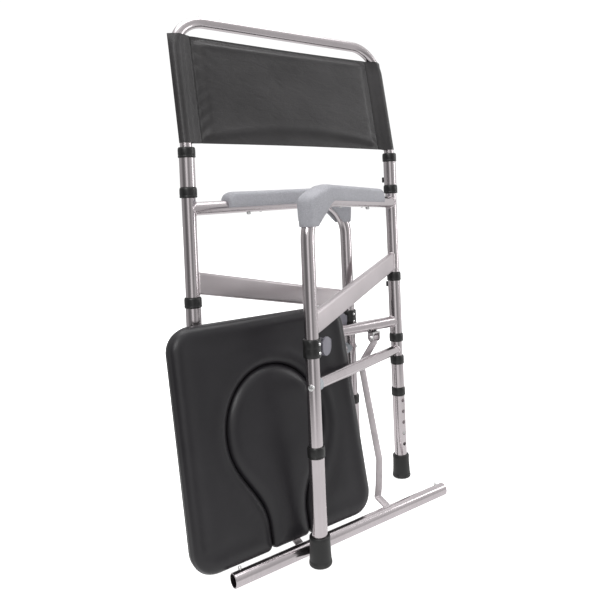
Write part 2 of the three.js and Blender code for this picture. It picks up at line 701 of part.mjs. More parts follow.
// ---- Assembly ----
const chair = new THREE.Group();
chair.add(piece('back_tube', backTube(), finish.aluminium));
chair.add(piece('rear_crossbar', rearCrossbar(), finish.aluminium));
chair.add(piece('backrest_cloth', backrest(), finish.cloth));
chair.add(piece('front_bar', frontBar(), finish.aluminium));
chair.add(seat());
for (const [side, label, angle] of [[-1, 'left', LEFT_ANGLE], [1, 'right', RIGHT_ANGLE]]) {
  chair.add(rearPost(side, label));
  chair.add(sideFrame(side, label, angle));
  chair.add(piece(`strut_${label}`, strut(side), finish.steel));
  chair.add(piece(`pivot_bracket_${label}`, pivotBracket(side), finish.steel));
  chair.add(piece(`pivot_bolt_${label}`, pivotBolt(side), finish.steel));
}

// The origin goes on the floor under the middle of the whole object.
chair.updateMatrixWorld(true);
const box = new THREE.Box3().setFromObject(chair, true);
chair.position.set(-(box.min.x + box.max.x) / 2, -(box.min.y + box.max.y) / 2, -box.min.z);

export default chair;
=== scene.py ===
"""Folding commode chair, folded: smooth tube, soft seat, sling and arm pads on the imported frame.

Metres, +Z up. The rear posts stand across X, and the sitter faces -Y.
"""
import math

import bmesh
import bpy
from mathutils import Matrix, Vector, noise
from mathutils.geometry import delaunay_2d_cdt
from mathutils.kdtree import KDTree


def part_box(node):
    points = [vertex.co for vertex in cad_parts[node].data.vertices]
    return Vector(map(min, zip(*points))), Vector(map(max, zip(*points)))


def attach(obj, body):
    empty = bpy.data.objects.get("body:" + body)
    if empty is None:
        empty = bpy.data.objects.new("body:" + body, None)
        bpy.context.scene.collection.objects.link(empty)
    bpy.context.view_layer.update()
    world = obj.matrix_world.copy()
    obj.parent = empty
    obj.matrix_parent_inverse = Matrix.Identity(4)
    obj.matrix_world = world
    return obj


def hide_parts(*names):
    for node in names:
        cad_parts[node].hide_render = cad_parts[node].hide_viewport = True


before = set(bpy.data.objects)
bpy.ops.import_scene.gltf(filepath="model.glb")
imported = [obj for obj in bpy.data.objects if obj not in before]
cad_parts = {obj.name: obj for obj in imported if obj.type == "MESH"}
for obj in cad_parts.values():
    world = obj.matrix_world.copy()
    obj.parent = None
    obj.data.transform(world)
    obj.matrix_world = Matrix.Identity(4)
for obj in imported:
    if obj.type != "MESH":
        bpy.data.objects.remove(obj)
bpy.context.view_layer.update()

# ---- Sizes of the frame, and of the looks built round it ----
MM = 0.001
TIP_R = 0.01 * MM              # radius at which a turned knob closes on its axis
SIDES = ("left", "right")
GAP = 0.3 * MM
BACK_TUBE_R = 11.1 * MM        # bent back tube, also the core of both posts
BACK_CORNER_R = 65 * MM
RAKE_START = 762 * MM          # height where the backrest leans back
RAKE = math.tan(math.radians(10))
POST_SLEEVE_R = 14.3 * MM
HINGE_SLEEVE_R = 12.9 * MM
LEG_R = 14.6 * MM
COLLAR_R = 16.2 * MM
CROSS_R = 12.4 * MM
SIDE_TUBE_R = 12.7 * MM        # arm tube and front leg
ARM_Z = 643.5 * MM             # arm tube at the post
ARM_RISE = 9 * MM              # from the post to the leg
ARM_BEND_R = 76 * MM
RAIL_T = 14 * MM
RAIL_H = 41 * MM
LOWER_TUBE_R = 10.8 * MM
LOWER_TUBE_DROP = 20.5 * MM    # from its front end to its rear end
SADDLE = 6 * MM                # thickness of the spacer between that tube and the leg
SADDLE_RINGS = ((12.4, 0.1), (12.2, 1.6), (11.6, 3.4), (11.4, 8.0), (11.0, 8.4))    # radius, out from the leg
FOOT_FLOOR = 8 * MM
HOLE_R = 4.1 * MM              # the frame's holes with their broken edges
HOLE_PITCH = 25.4 * MM
HOLE_DEPTH = 4 * MM
HOLES_ABOVE_BUTTON = 3
HOLES_BELOW_BUTTON = 1
BUTTON_R = 3.1 * MM
PAD_HALF_W = 20 * MM
PAD_SKIRT_HALF_W = 14.9 * MM
PAD_EDGE_R = 8.5 * MM
PAD_SKIRT_EDGE_R = 9.5 * MM
PAD_SHELL = 2.6 * MM           # wall of the skirt, which is hollow
PAD_NOSE_R = 15 * MM
# The pad round the bend, by degrees: millimetres out from the tube's axis, and in from it.
PAD_REACH = ((0, 28), (8, 28.8), (25, 28.6), (35, 32.3), (40, 35.4), (45, 37.8), (50, 36.0), (55, 29.6),
             (63, 21.2), (73, 17.2), (90, 16.6))
PAD_LOW = ((0, 1.5), (12, 6), (30, 13.6), (55, 14.2), (75, 8), (90, 1.5))
CLAMP_R = 16.3 * MM
SOCKET_PLAY = 0.6 * MM
SOCKET_WALL = 2.6 * MM
SOCKET_WIDTH = 26 * MM
BAR_R = 12.7 * MM
BAR_WALL = 1.6 * MM
PIN_R = 3 * MM
PIN_H = 6 * MM
PIN_FROM_END = 16 * MM
STRUT_T = 4 * MM
STRUT_W = 16 * MM
STRUT_EYE_R = 7 * MM
STRUT_BEND = (-9 * MM, 290 * MM)       # behind the posts' line, and height
STRUT_LOW = (-80 * MM, 24 * MM)
STRUT_SET_IN = [(z * MM, inwards * MM) for z, inwards in ((329, 0), (287, 43), (90, 46), (42, 61), (24, 69))]
PIVOT_HOLE_R = 3.4 * MM
PIVOT_SHANK_R = 3 * MM
BOLT_HEAD_R = 5.8 * MM
LEG_BOLT_R = 6.2 * MM
LEG_BOLT_H = 3.6 * MM
BOLT_TURN = 12                 # degrees that a leg's bolt looks away from the frame's line
BOLT_HEAD_H = 3.2 * MM
BRACKET_WALL = 2.4 * MM
ARM_SCREWS = ((130, 4.6, 5.5), (158, 2.4, 1.6), (255, 3.0, 2.2))      # along the arm, radius, height
PAD_START = 78 * MM            # rear end of an arm pad, from the post axis
SEAT_LEAN = math.radians(11.5)
SEAT_T = 32 * MM
SEAT_D = 411 * MM
SEAT_CORNER_R = 42 * MM
BOARD_T = 7 * MM
PLUG_GAP = 0.6 * MM
CUT_NECK = 41 * MM             # keyhole in the seat: half widths and heights
CUT_NECK_END = 40 * MM
CUT_WIDE = 102 * MM
CUT_WIDE_AT = 205 * MM
CUT_TOP = 320 * MM
MOUTH_R = 11 * MM
CUSHION_ROLL = 22 * MM
CUSHION_ROLL_IN = 27 * MM
CUSHION_ROLL_H = 15 * MM
CUSHION_VALLEY = 1.6 * MM
PLUG_ROLL = 24 * MM
PLUG_ROLL_H = 17 * MM
SKIN_EDGE_STEP = 4 * MM
SKIN_SPACING = 8 * MM
SKIN_SLACK = 0.25              # millimetres that a ring's point may be nearer to the edge than its ring
SKIN_RINGS = (0.8, 2, 3.6, 5.6, 8, 11, 14.5, 18.5, 23, 28, 34, 41)    # millimetres in from the edge
CLIP_W = 24 * MM
CLIP_D = 16 * MM
CLIP_BELOW = 5 * MM
CLIP_FROM_MIDDLE = 140 * MM
CLIP_FRONT = 70 * MM
CLIP_REAR = 90 * MM
CLOTH_GAUGE = 0.9 * MM
SLING_EAR = 12.8 * MM          # the sling's straight outer edge, from the post axis
SLING_TUBE_R = 12.0 * MM
STITCH_IN = 45 * MM            # stitched line, in from the outer edge
STITCH_PITCH = 4.4 * MM
THREAD_R = 0.75 * MM
SLING_ROWS = 44
SEAM_HALF = 0.9 * MM           # half the thickness of a sewn seam
SLEEVE_SLACK = 1.7 * MM        # how far the sleeve's flat part sags
SLEEVE_FLAT = 0.55             # share of the sleeve that is flat
FLOOR_GLOW = 0.70
FLOOR_BOUNCE = 0.95
FLOOR_PAPER = (0.55, 1.15)     # the bright paper's reach, and where it has faded out
ROOM_LEVEL = 0.86
ROOM_PANELS = ((0.0, 0.50), (0.10, 0.20), (0.26, 0.24), (0.37, 0.46), (0.46, 1.15), (0.58, 1.15),
               (0.67, 0.44), (0.80, 0.34), (0.90, 0.66), (1.0, 0.74))
# Name, place, size and watts of each soft box.
LIGHTS = (("key", (-2.4, -1.7, 2.5), (1.0, 1.6), 30), ("strip", (2.3, -1.2, 1.2), (0.4, 2.2), 12),
          ("overhead", (0.1, 0.2, 3.0), (2.6, 2.0), 44))
CAMERA_AT = Vector((-0.6946, -1.0476, 0.6326))        # from the middle between the rear posts
CAMERA_AHEAD = Vector((0.58964, 0.80755, -0.01383))
CAMERA_UP = Vector((0.04108, -0.01288, 0.99907))
CAMERA_LENS = 35.976
CAMERA_SENSOR = 36
CAMERA_SHIFT = (-0.04917, -0.13717)
ROOM_AHEAD = Vector((0.590, 0.807))    # the camera's direction on the floor plan

UP = Vector((0, 0, 1))
BACK = Vector((0, 1, 0))
ACROSS = Vector((1, 0, 0))


def middle(node):
    low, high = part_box(node)
    return (low + high) / 2


def heights(node):
    low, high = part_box(node)
    return low.z, high.z


def on_floor(point):
    return Vector((point.x, point.y, 0))


POST = {side: on_floor(middle(f"rear_foot_{side}")) for side in SIDES}
LEG = {side: on_floor(middle(f"front_foot_{side}")) for side in SIDES}
SIDE_DEPTH = (LEG["left"] - POST["left"]).length


def side_frame(side):
    """Where a side frame stands: local x runs from its post to its leg, local z is up."""
    forward = (LEG[side] - POST[side]).normalized()
    turn = Matrix((forward, UP.cross(forward), UP)).transposed()
    return Matrix.Translation(POST[side]) @ turn.to_4x4()


# ---- Shader sockets as values ----
class Val:
    """A socket that adds Math nodes when it is calculated with."""

    def __init__(self, tree, socket):
        self.tree = tree
        self.socket = socket

    def _math(self, operation, *values):
        node = self.tree.nodes.new("ShaderNodeMath")
        node.operation = operation
        for slot, value in enumerate(values):
            if isinstance(value, Val):
                self.tree.links.new(value.socket, node.inputs[slot])
            else:
                node.inputs[slot].default_value = value
        return Val(self.tree, node.outputs[0])

    def __add__(self, other):
        return self._math("ADD", self, other)

    __radd__ = __add__

    def __mul__(self, other):
        return self._math("MULTIPLY", self, other)

    __rmul__ = __mul__

    def __sub__(self, other):
        return self._math("SUBTRACT", self, other)

    def __rsub__(self, other):
        return self._math("SUBTRACT", other, self)

    def __pow__(self, other):
        return self._math("POWER", self, other)

    def clamped(self):
        return self._math("MINIMUM", self._math("MAXIMUM", self, 0.0), 1.0)


class Finish:
    """A material being made: one shader, and one method for any other node."""

    def __init__(self, name, **settings):
        self.material = bpy.data.materials.new(name)
        self.material.use_nodes = True
        self.tree = self.material.node_tree
        self.shader = self.tree.nodes["Principled BSDF"]
        for socket, value in settings.items():
            self.shader.inputs[socket.replace("_", " ")].default_value = value

    def node(self, kind, sockets=None, output=0, stops=(), **settings):
        made = self.tree.nodes.new(kind)
        for key, value in settings.items():
            setattr(made, key, value)
        for slot, (place, colour) in enumerate(stops):
            elements = made.color_ramp.elements
            element = elements[slot] if slot < 2 else elements.new(place)
            element.position = place
            element.color = colour
        for key, value in (sockets or {}).items():
            if isinstance(value, Val):
                self.tree.links.new(value.socket, made.inputs[key])
            else:
                made.inputs[key].default_value = value
        return Val(self.tree, made.outputs[output])

    def place(self, stretch=(1, 1, 1)):
        where = self.node("ShaderNodeTexCoord", output="Object")
        return self.node("ShaderNodeMapping", {"Vector": where, "Scale": stretch})

    def noise(self, scale, detail=4.0, stretch=(1, 1, 1), roughness=0.55, distortion=0.0):
        sockets = {"Vector": self.place(stretch), "Scale": scale, "Detail": detail,
                   "Roughness": roughness, "Distortion": distortion}
        return self.node("ShaderNodeTexNoise", sockets)

    def cells(self, scale, feature="DISTANCE_TO_EDGE"):
        return self.node("ShaderNodeTexVoronoi", {"Vector": self.place(), "Scale": scale}, feature=feature)

    def spread(self, value, low, high):
        """The value, stretched so that low becomes 0 and high becomes 1."""
        return self.node("ShaderNodeMapRange", {"Value": value, "From Min": low, "From Max": high})

    def mixed(self, amount, first, second):
        return self.node("ShaderNodeMix", {0: amount, 6: first, 7: second}, output=2, data_type="RGBA")

    def feed(self, **links):
        for socket, value in links.items():
            self.tree.links.new(value.socket, self.shader.inputs[socket.replace("_", " ")])

    def bump(self, height, strength, distance):
        return self.node("ShaderNodeBump", {"Height": height, "Strength": strength, "Distance": distance})


def grey(level, tint=(1, 1, 1)):
    return (level * tint[0], level * tint[1], level * tint[2], 1)


# ---- Finishes ----
WARM = (1.0, 0.925, 0.95)


def anodised_tube():
    """Satin tube: faint drawing lines, slow clouding and a few rubbed scuffs."""
    f = Finish("anodised_tube", Metallic=1.0)
    lines = f.noise(240, 3, (1, 1, 0.02))
    cloud = f.noise(9, 4)
    scuffs = f.spread(f.noise(48, 7, roughness=0.7), 0.66, 0.78)
    tone = f.spread(cloud * 0.7 + lines * 0.3, 0.3, 0.7)
    f.feed(Base_Color=f.mixed(tone, grey(0.52, WARM), grey(0.62, WARM)),
           Roughness=lines * 0.05 + cloud * 0.08 + scuffs * 0.10 + 0.11,
           Normal=f.bump(lines * 0.4 + cloud, 0.05, 0.6 * MM))
    return f.material


def satin_rail():
    """Blasted, anodised flat rail: a fine frosted grain with slow clouding."""
    f = Finish("satin_rail", Metallic=1.0)
    frost = f.noise(1100, 2)
    cloud = f.noise(8, 4)
    f.feed(Base_Color=f.mixed(f.spread(cloud, 0.3, 0.7), grey(0.52, WARM), grey(0.61, WARM)),
           Roughness=frost * 0.06 + cloud * 0.12 + 0.30,
           Normal=f.bump(frost * 0.3 + cloud, 0.05, 0.4 * MM))
    return f.material


def weld_metal():
    """Rippled weld bead, brighter than the tube."""
    f = Finish("weld_metal", Metallic=1.0)
    ripple = f.noise(420, 3)
    cloud = f.noise(60, 2)
    f.feed(Base_Color=f.mixed(cloud, grey(0.62, WARM), grey(0.86, WARM)),
           Roughness=ripple * 0.2 + 0.2, Normal=f.bump(ripple, 0.5, 0.6 * MM))
    return f.material


def plated_steel():
    f = Finish("plated_steel", Metallic=1.0)
    grain = f.noise(300, 5)
    stains = f.spread(f.noise(70, 6, roughness=0.7), 0.5, 0.75)
    f.feed(Base_Color=f.mixed(stains, grey(0.74), grey(0.5, (1, 0.97, 0.93))),
           Roughness=grain * 0.16 + stains * 0.2 + 0.14, Normal=f.bump(grain, 0.1, 0.3 * MM))
    return f.material


def strut_coating():
    """Dull silver coating on flat bar, faintly mottled."""
    f = Finish("strut_coating", Metallic=0.85)
    grain = f.noise(500, 4)
    cloud = f.noise(30, 5)
    f.feed(Base_Color=f.mixed(f.spread(cloud, 0.3, 0.7), grey(0.42, WARM), grey(0.56, WARM)),
           Roughness=grain * 0.12 + cloud * 0.1 + 0.34, Normal=f.bump(grain, 0.12, 0.3 * MM))
    return f.material


def collar_moulding():
    """Black nylon: satin, with moulding flow and a little handling polish."""
    f = Finish("collar_moulding")
    flow = f.noise(35, 5, (1, 1, 0.3))
    grain = f.noise(700, 3)
    f.feed(Base_Color=f.mixed(flow, grey(0.006), grey(0.017)),
           Roughness=flow * 0.2 + grain * 0.08 + 0.2, Normal=f.bump(grain, 0.1, 0.2 * MM))
    return f.material


def foot_rubber():
    """Matt rubber with floor dust near the ground."""
    f = Finish("foot_rubber")
    grain = f.noise(600, 4)
    height = f.node("ShaderNodeSeparateXYZ", {"Vector": f.place()}, output=2)
    dust = (1 - f.spread(height, 0.0, 12 * MM)) * f.spread(f.noise(120, 5), 0.35, 0.7)
    f.feed(Base_Color=f.mixed(dust * 0.5, grey(0.010), grey(0.09, (1, 0.97, 0.93))),
           Roughness=grain * 0.15 + dust * 0.2 + 0.42, Normal=f.bump(grain, 0.25, 0.3 * MM))
    return f.material


def pad_skin():
    """Grey arm pad skin: a dense pebbled grain, with painted shade in the pits between the pebbles."""
    f = Finish("pad_skin")
    pebbles = f.cells(430)
    fine = f.noise(900, 4)
    cloud = f.noise(18, 4)
    height = f.spread(pebbles, 0.0, 0.35) * 0.8 + fine * 0.4
    # The colour follows the grain's height: painted shade darkens the low pits, and the slow cloud is the
    # skin's own uneven tone.
    tone = f.spread(height + cloud * 0.4, 0.35, 1.25)
    f.feed(Base_Color=f.mixed(tone, (0.34, 0.34, 0.37, 1), (0.54, 0.54, 0.58, 1)),
           Roughness=cloud * 0.1 + 0.5, Normal=f.bump(height, 0.85, 0.7 * MM))
    return f.material


def grey_moulding():
    """Smooth grey socket moulding with faint flow marks."""
    f = Finish("grey_moulding")
    flow = f.noise(45, 5, distortion=0.6)
    fine = f.noise(900, 2)
    f.feed(Base_Color=f.mixed(flow, (0.17, 0.165, 0.195, 1), (0.27, 0.26, 0.30, 1)),
           Roughness=flow * 0.16 + 0.24, Normal=f.bump(fine, 0.08, 0.2 * MM))
    return f.material


def saddle_moulding():
    """Pale nylon spacer between tube and leg."""
    f = Finish("saddle_moulding")
    flow = f.noise(80, 4)
    f.feed(Base_Color=f.mixed(flow, (0.34, 0.37, 0.40, 1), (0.46, 0.49, 0.52, 1)),
           Roughness=flow * 0.15 + 0.35, Normal=f.bump(flow, 0.1, 0.2 * MM))
    return f.material


def seat_vinyl():
    """Soft black seat skin: fine leather grain, low sheen and slow clouding."""
    f = Finish("seat_vinyl", Specular_IOR_Level=0.42)
    grain = f.cells(1400)
    wrinkle = f.noise(700, 5, distortion=0.4)
    cloud = f.noise(6, 5)
    height = f.spread(grain, 0.0, 0.3) * 0.5 + wrinkle * 0.5
    f.feed(Base_Color=f.mixed(f.spread(cloud, 0.3, 0.7), (0.0125, 0.0115, 0.0135, 1),
                              (0.021, 0.0195, 0.0225, 1)),
           Roughness=cloud * 0.14 + height * 0.08 + 0.24, Normal=f.bump(height, 0.16, 0.25 * MM))
    return f.material


def board_moulding():
    f = Finish("board_moulding")
    grain = f.noise(800, 4)
    flow = f.noise(20, 4, distortion=0.8)
    f.feed(Base_Color=f.mixed(flow, grey(0.010), grey(0.024)),
           Roughness=grain * 0.1 + flow * 0.12 + 0.38, Normal=f.bump(grain, 0.2, 0.2 * MM))
    return f.material


def sling_cloth():
    """Coated black cloth: a fine woven ground under a soft sheen, with small creases."""
    f = Finish("sling_cloth", Specular_IOR_Level=0.45)
    warp = f.node("ShaderNodeTexWave", {"Vector": f.place(), "Scale": 160, "Distortion": 0.8},
                  output="Fac", bands_direction="X")
    weft = f.node("ShaderNodeTexWave", {"Vector": f.place(), "Scale": 160, "Distortion": 0.8},
                  output="Fac", bands_direction="Z")
    creases = f.noise(30, 6, (1, 1, 2.0), roughness=0.62, distortion=0.6)
    cloud = f.noise(9, 4)
    weave = warp * weft
    f.feed(Base_Color=f.mixed(f.spread(cloud + weave * 0.3, 0.3, 0.9), (0.019, 0.0178, 0.0186, 1),
                              (0.040, 0.0375, 0.039, 1)),
           Roughness=cloud * 0.12 + weave * 0.06 + 0.33,
           Normal=f.bump(creases * 1.5 + weave * 0.16, 0.5, 1.4 * MM))
    return f.material


def thread():
    f = Finish("black_thread", Roughness=0.7)
    twist = f.noise(2600, 2)
    f.feed(Base_Color=f.mixed(twist, grey(0.002), grey(0.008)), Normal=f.bump(twist, 0.4, 0.2 * MM))
    return f.material


FINISH = {
    "tube": anodised_tube(), "rail": satin_rail(), "weld": weld_metal(), "steel": plated_steel(),
    "strut": strut_coating(), "collar": collar_moulding(), "foot": foot_rubber(), "pad": pad_skin(),
    "socket": grey_moulding(), "saddle": saddle_moulding(), "vinyl": seat_vinyl(),
    "board": board_moulding(), "cloth": sling_cloth(), "thread": thread(),
}


# ---- Shapes: each function returns points and faces ----
def circle(radius, steps=40):
    turn = 2 * math.pi / steps
    return [(radius * math.cos(i * turn), radius * math.sin(i * turn)) for i in range(steps)]


def skinned(loops, wrap=False, caps=True):
    """Quads between loops of equal length. The last loop joins the first, or both ends are closed."""
    count = len(loops[0])
    points = [point for loop in loops for point in loop]
    faces = []
    for i in range(len(loops) if wrap else len(loops) - 1):
        low, high = i * count, (i + 1) % len(loops) * count
        for k in range(count):
            after = (k + 1) % count
            faces.append((low + k, low + after, high + after, high + k))
    if caps and not wrap:
        faces.append(tuple(range(count))[::-1])
        faces.append(tuple(range(len(points) - count, len(points))))
    return points, faces


def turned(profile, place=Matrix(), steps=56, ring=True):
    """A profile of radius and height, turned about local Z. A ring has a bore; a knob is closed."""
    loops = [[place @ Vector((r * x, r * y, z)) for x, y in circle(1, steps)] for r, z in profile]
    return skinned(loops, wrap=ring)


def swept(outline, path, across, caps=True):
    """An outline drawn in (across, outwards) along a path; the outline may change with the station."""
    loops = []
    for i, point in enumerate(path):
        before, after = path[max(i - 1, 0)], path[min(i + 1, len(path) - 1)]
        run = (after - before).normalized()
        side = (across - run * across.dot(run)).normalized()
        over = run.cross(side)
        section = outline(i) if callable(outline) else outline
        loops.append([point + side * a + over * b for a, b in section])
    return skinned(loops, caps=caps)


def prism(outline, low, high, place=Matrix()):
    """A flat outline, thickened along local Z."""
    loops = [[place @ Vector((a, b, h)) for a, b in outline] for h in (low, high)]
    return skinned(loops)


def moved(shape, matrix):
    return [matrix @ point for point in shape[0]], shape[1]


def pointing(origin, direction):
    """A place whose local Z runs along a direction."""
    return Matrix.Translation(origin) @ direction.to_track_quat("Z", "Y").to_matrix().to_4x4()


def rounded(corners, step=3 * MM):
    """A path through corners given with the radius that each is bent to."""
    path = [corners[0][0]]
    for (before, _), (corner, radius), (after, _) in zip(corners, corners[1:], corners[2:]):
        into, out = (corner - before).normalized(), (after - corner).normalized()
        bend = into.angle(out)
        reach = radius * math.tan(bend / 2)
        inwards = (out - into).normalized()
        centre = corner + inwards * (radius / math.cos(bend / 2))
        start = corner - into * reach - centre
        axis = into.cross(out).normalized()
        count = max(3, math.ceil(radius * bend / step))
        path += [centre + Matrix.Rotation(bend * i / count, 3, axis) @ start for i in range(count + 1)]
    path.append(corners[-1][0])
    return path


def rounded_box(width, height, radius, steps=4):
    """Outline of a rectangle with rounded corners."""
    points = []
    for quarter, (sx, sy) in enumerate(((1, 1), (-1, 1), (-1, -1), (1, -1))):
        for i in range(steps + 1):
            angle = math.pi / 2 * (quarter + i / steps)
            points.append((sx * (width / 2 - radius) + radius * math.cos(angle),
                           sy * (height / 2 - radius) + radius * math.sin(angle)))
    return points


def coped(loop, direction, axis, radius):
    """The loop, slid along a direction until each point lies on an upright tube's surface."""
    flat = Vector((direction.x, direction.y))
    fitted = []
    for point in loop:
        away = Vector((point.x - axis.x, point.y - axis.y))
        a, b, c = flat.dot(flat), 2 * away.dot(flat), away.dot(away) - radius * radius
        root = math.sqrt(max(0.0, b * b - 4 * a * c))
        slides = [(-b - root) / (2 * a), (-b + root) / (2 * a)]
        fitted.append(point + direction * min(slides, key=abs))
    return fitted


def bead(loop, radius, steps=8):
    """A weld bead that follows a closed line, with the ripple of each dab."""
    centre = sum(loop, Vector()) / len(loop)
    loops = []
    for i, point in enumerate(loop):
        run = (loop[(i + 1) % len(loop)] - loop[i - 1]).normalized()
        out = point - centre
        out = (out - run * out.dot(run)).normalized()
        over = run.cross(out)
        size = radius * (1 + 0.16 * math.sin(i * 2.4))
        loops.append([point + (out * x + over * y) * size for x, y in circle(1, steps)])
    return skinned(loops, wrap=True)


# ---- Pieces ----
def face_outwards(mesh):
    work = bmesh.new()
    work.from_mesh(mesh)
    bmesh.ops.recalc_face_normals(work, faces=work.faces)
    work.to_mesh(mesh)
    work.free()


class Piece:
    """Shapes and their finishes, gathered into one object."""

    def __init__(self):
        self.points = []
        self.faces = []
        self.looks = []

    def add(self, shape, look):
        start = len(self.points)
        self.points += [Vector(point) for point in shape[0]]
        self.faces += [tuple(start + k for k in face) for face in shape[1]]
        self.looks += [look] * len(shape[1])
        return self

    def put(self, place):
        """Takes everything that was added so far to its place."""
        self.points = [place @ point for point in self.points]

    def finish(self, name, body, stands_for=(), crease=38, bevel=0.0, outwards=True):
        mesh = bpy.data.meshes.new(name)
        mesh.from_pydata(self.points, [], self.faces)
        looks = sorted(set(self.looks), key=self.looks.index)
        for look in looks:
            mesh.materials.append(FINISH[look])
        mesh.polygons.foreach_set("material_index", [looks.index(look) for look in self.looks])
        mesh.polygons.foreach_set("use_smooth", [True] * len(mesh.polygons))
        if outwards:
            face_outwards(mesh)
        obj = bpy.data.objects.new(name, mesh)
        bpy.context.scene.collection.objects.link(obj)
        if bevel:
            edge = obj.modifiers.new("edges", "BEVEL")
            edge.width = bevel
            edge.segments = 2
            edge.limit_method = "ANGLE"
            edge.angle_limit = math.radians(crease)
            edge.harden_normals = True
        else:
            mesh.set_sharp_from_angle(angle=math.radians(crease))
        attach(obj, body)
        if stands_for:
            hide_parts(*stands_for)
        return obj


def cut(obj, shapes, crease=38):
    """Cuts closed shapes out of an object, for good."""
    cutter = Piece()
    for shape in shapes:
        cutter.add(shape, "tube")
    mesh = bpy.data.meshes.new("cutter")
    mesh.from_pydata(cutter.points, [], cutter.faces)
    face_outwards(mesh)
    tool = bpy.data.objects.new("cutter", mesh)
    bpy.context.scene.collection.objects.link(tool)
    hole = obj.modifiers.new("hole", "BOOLEAN")
    hole.operation = "DIFFERENCE"
    hole.solver = "EXACT"
    hole.object = tool
    made = bpy.data.meshes.new_from_object(obj.evaluated_get(bpy.context.evaluated_depsgraph_get()))
    obj.modifiers.remove(hole)
    old = obj.data
    obj.data = made
    bpy.data.meshes.remove(old)
    bpy.data.objects.remove(tool)
    made.polygons.foreach_set("use_smooth", [True] * len(made.polygons))
    made.set_sharp_from_angle(angle=math.radians(crease))
    smooth = obj.modifiers.new("even_shading", "WEIGHTED_NORMAL")
    smooth.keep_sharp = True
    return obj


def tube_between(piece, look, radius, rear, front, rear_tube, front_tube, steps=40):
    """A straight tube fitted between two upright tubes, with a weld bead at each end that is welded."""
    run = (front - rear).normalized()
    side = UP.cross(run).normalized()
    over = run.cross(side)
    section = [side * a + over * b for a, b in circle(radius, steps)]
    ends = []
    for point, (axis, tube_r, welded) in ((rear, rear_tube), (front, front_tube)):
        inwards = run if point is rear else -run
        loop = coped([point + inwards * tube_r + p for p in section], run, axis, tube_r)
        ends.append(loop)
        if welded:
            piece.add(bead(loop, 1.5 * MM), "weld")
    sunk = [[p - run * MM for p in ends[0]], [p + run * MM for p in ends[1]]]
    piece.add(skinned([sunk[0], ends[0], ends[1], sunk[1]]), look)


def sleeve_shape(radius, bore, z0, z1, axis):
    edge = 0.7 * MM
    profile = [(bore, z0), (radius - edge, z0), (radius, z0 + edge), (radius, z1 - edge),
               (radius - edge, z1), (bore, z1)]
    return turned(profile, Matrix.Translation(axis))


# ---- Rear frame ----
def raked(z):
    return max(0.0, z - RAKE_START) * RAKE


def button_height(side, which):
    return middle(f"{which}_leg_button_{side}").z


def leg_holes(axis, towards, side, which, radius, depth):
    """Adjustment holes, on a pitch, down one side of a leg."""
    shapes = []
    for k in range(-HOLES_BELOW_BUTTON, HOLES_ABOVE_BUTTON + 1):
        z = button_height(side, which) + k * HOLE_PITCH
        start = Vector((axis.x, axis.y, z)) + towards * (radius - depth)
        knob = [(TIP_R, 0), (HOLE_R, 0), (HOLE_R, depth + MM), (TIP_R, depth + MM)]
        shapes.append(turned(knob, pointing(start, towards), steps=24, ring=False))
    return shapes


def bent_back_tube():
    low, high = heights("back_tube")
    top = high - BACK_TUBE_R
    corners = []
    for side, order in (("left", 1), ("right", -1)):
        x, y = POST[side].x, POST[side].y
        run = [(Vector((x, y, low)), 0), (Vector((x, y, RAKE_START)), 300 * MM),
               (Vector((x, y + raked(top), top)), BACK_CORNER_R)]
        corners += run[::order]
    path = rounded(corners)
    tube = Piece().add(swept(circle(BACK_TUBE_R, 48), path, BACK), "tube")
    made = tube.finish("bent_back_tube", "rear_frame", ["back_tube"])
    holes = [leg_holes(POST[s], -BACK, s, "rear", BACK_TUBE_R, HOLE_DEPTH) for s in SIDES]
    cut(made, holes[0] + holes[1])


def crossbar():
    z0, z1 = heights("rear_crossbar")
    z = z0 + 28 * MM
    bar = Piece()
    for side in SIDES:
        bar.add(sleeve_shape(POST_SLEEVE_R, BACK_TUBE_R + GAP, z0, z1, POST[side]), "tube")
    ends = [POST[side] + UP * z for side in SIDES]
    tube_between(bar, "tube", CROSS_R, *ends, *[(POST[side], POST_SLEEVE_R, True) for side in SIDES])
    bar.finish("crossbar", "rear_frame", ["rear_crossbar"])


def collar(name, node, axis, bore, body):
    """Black clamp collar: a crowned band with a lipped lower rim and a parting groove."""
    z0, z1 = heights(node)
    r = COLLAR_R
    profile = [(bore, z0), (r - 1.1 * MM, z0), (r - 0.2 * MM, z0 + 0.8 * MM), (r, z0 + 2 * MM),
               (r - 0.15 * MM, z0 + 3.4 * MM), (r - 0.5 * MM, z0 + 3.9 * MM), (r - 0.25 * MM, z0 + 4.5 * MM),
               (r - 0.05 * MM, z0 + 8 * MM), (r - 0.15 * MM, z1 - 4 * MM), (r - 0.6 * MM, z1 - 1.4 * MM),
               (r - 1.6 * MM, z1), (bore, z1)]
    band = Piece().add(turned(profile, Matrix.Translation(axis)), "collar")
    band.finish(name, body, [node], crease=50)


def sleeves():
    for side in SIDES:
        for which in ("upper", "lower"):
            node = f"{which}_sleeve_{side}"
            shape = sleeve_shape(POST_SLEEVE_R, BACK_TUBE_R + GAP, *heights(node), POST[side])
            Piece().add(shape, "tube").finish(f"{which}_post_sleeve_{side}", "rear_frame", [node])


def sleeve_stop(side, number):
    """Small black stop on a short stem, at the back of a sleeve."""
    node = f"sleeve_plug_{number}_{side}"
    low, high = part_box(node)
    centre = (low + high) / 2
    size = high - low
    stop, stem_r, stem_end = Piece(), 3.4 * MM, size.y - 4 * MM
    outline = rounded_box(size.x, size.z, 1.6 * MM)
    place = pointing(Vector((centre.x, low.y, centre.z)), BACK)
    stop.add(prism(outline, stem_end, size.y, place), "collar")
    stem = [(TIP_R, 0), (stem_r, 0), (stem_r, stem_end), (TIP_R, stem_end)]
    stop.add(turned(stem, place, steps=24, ring=False), "collar")
    stop.finish(f"sleeve_stop_{number}_{side}", "rear_frame", [node], bevel=0.6 * MM)


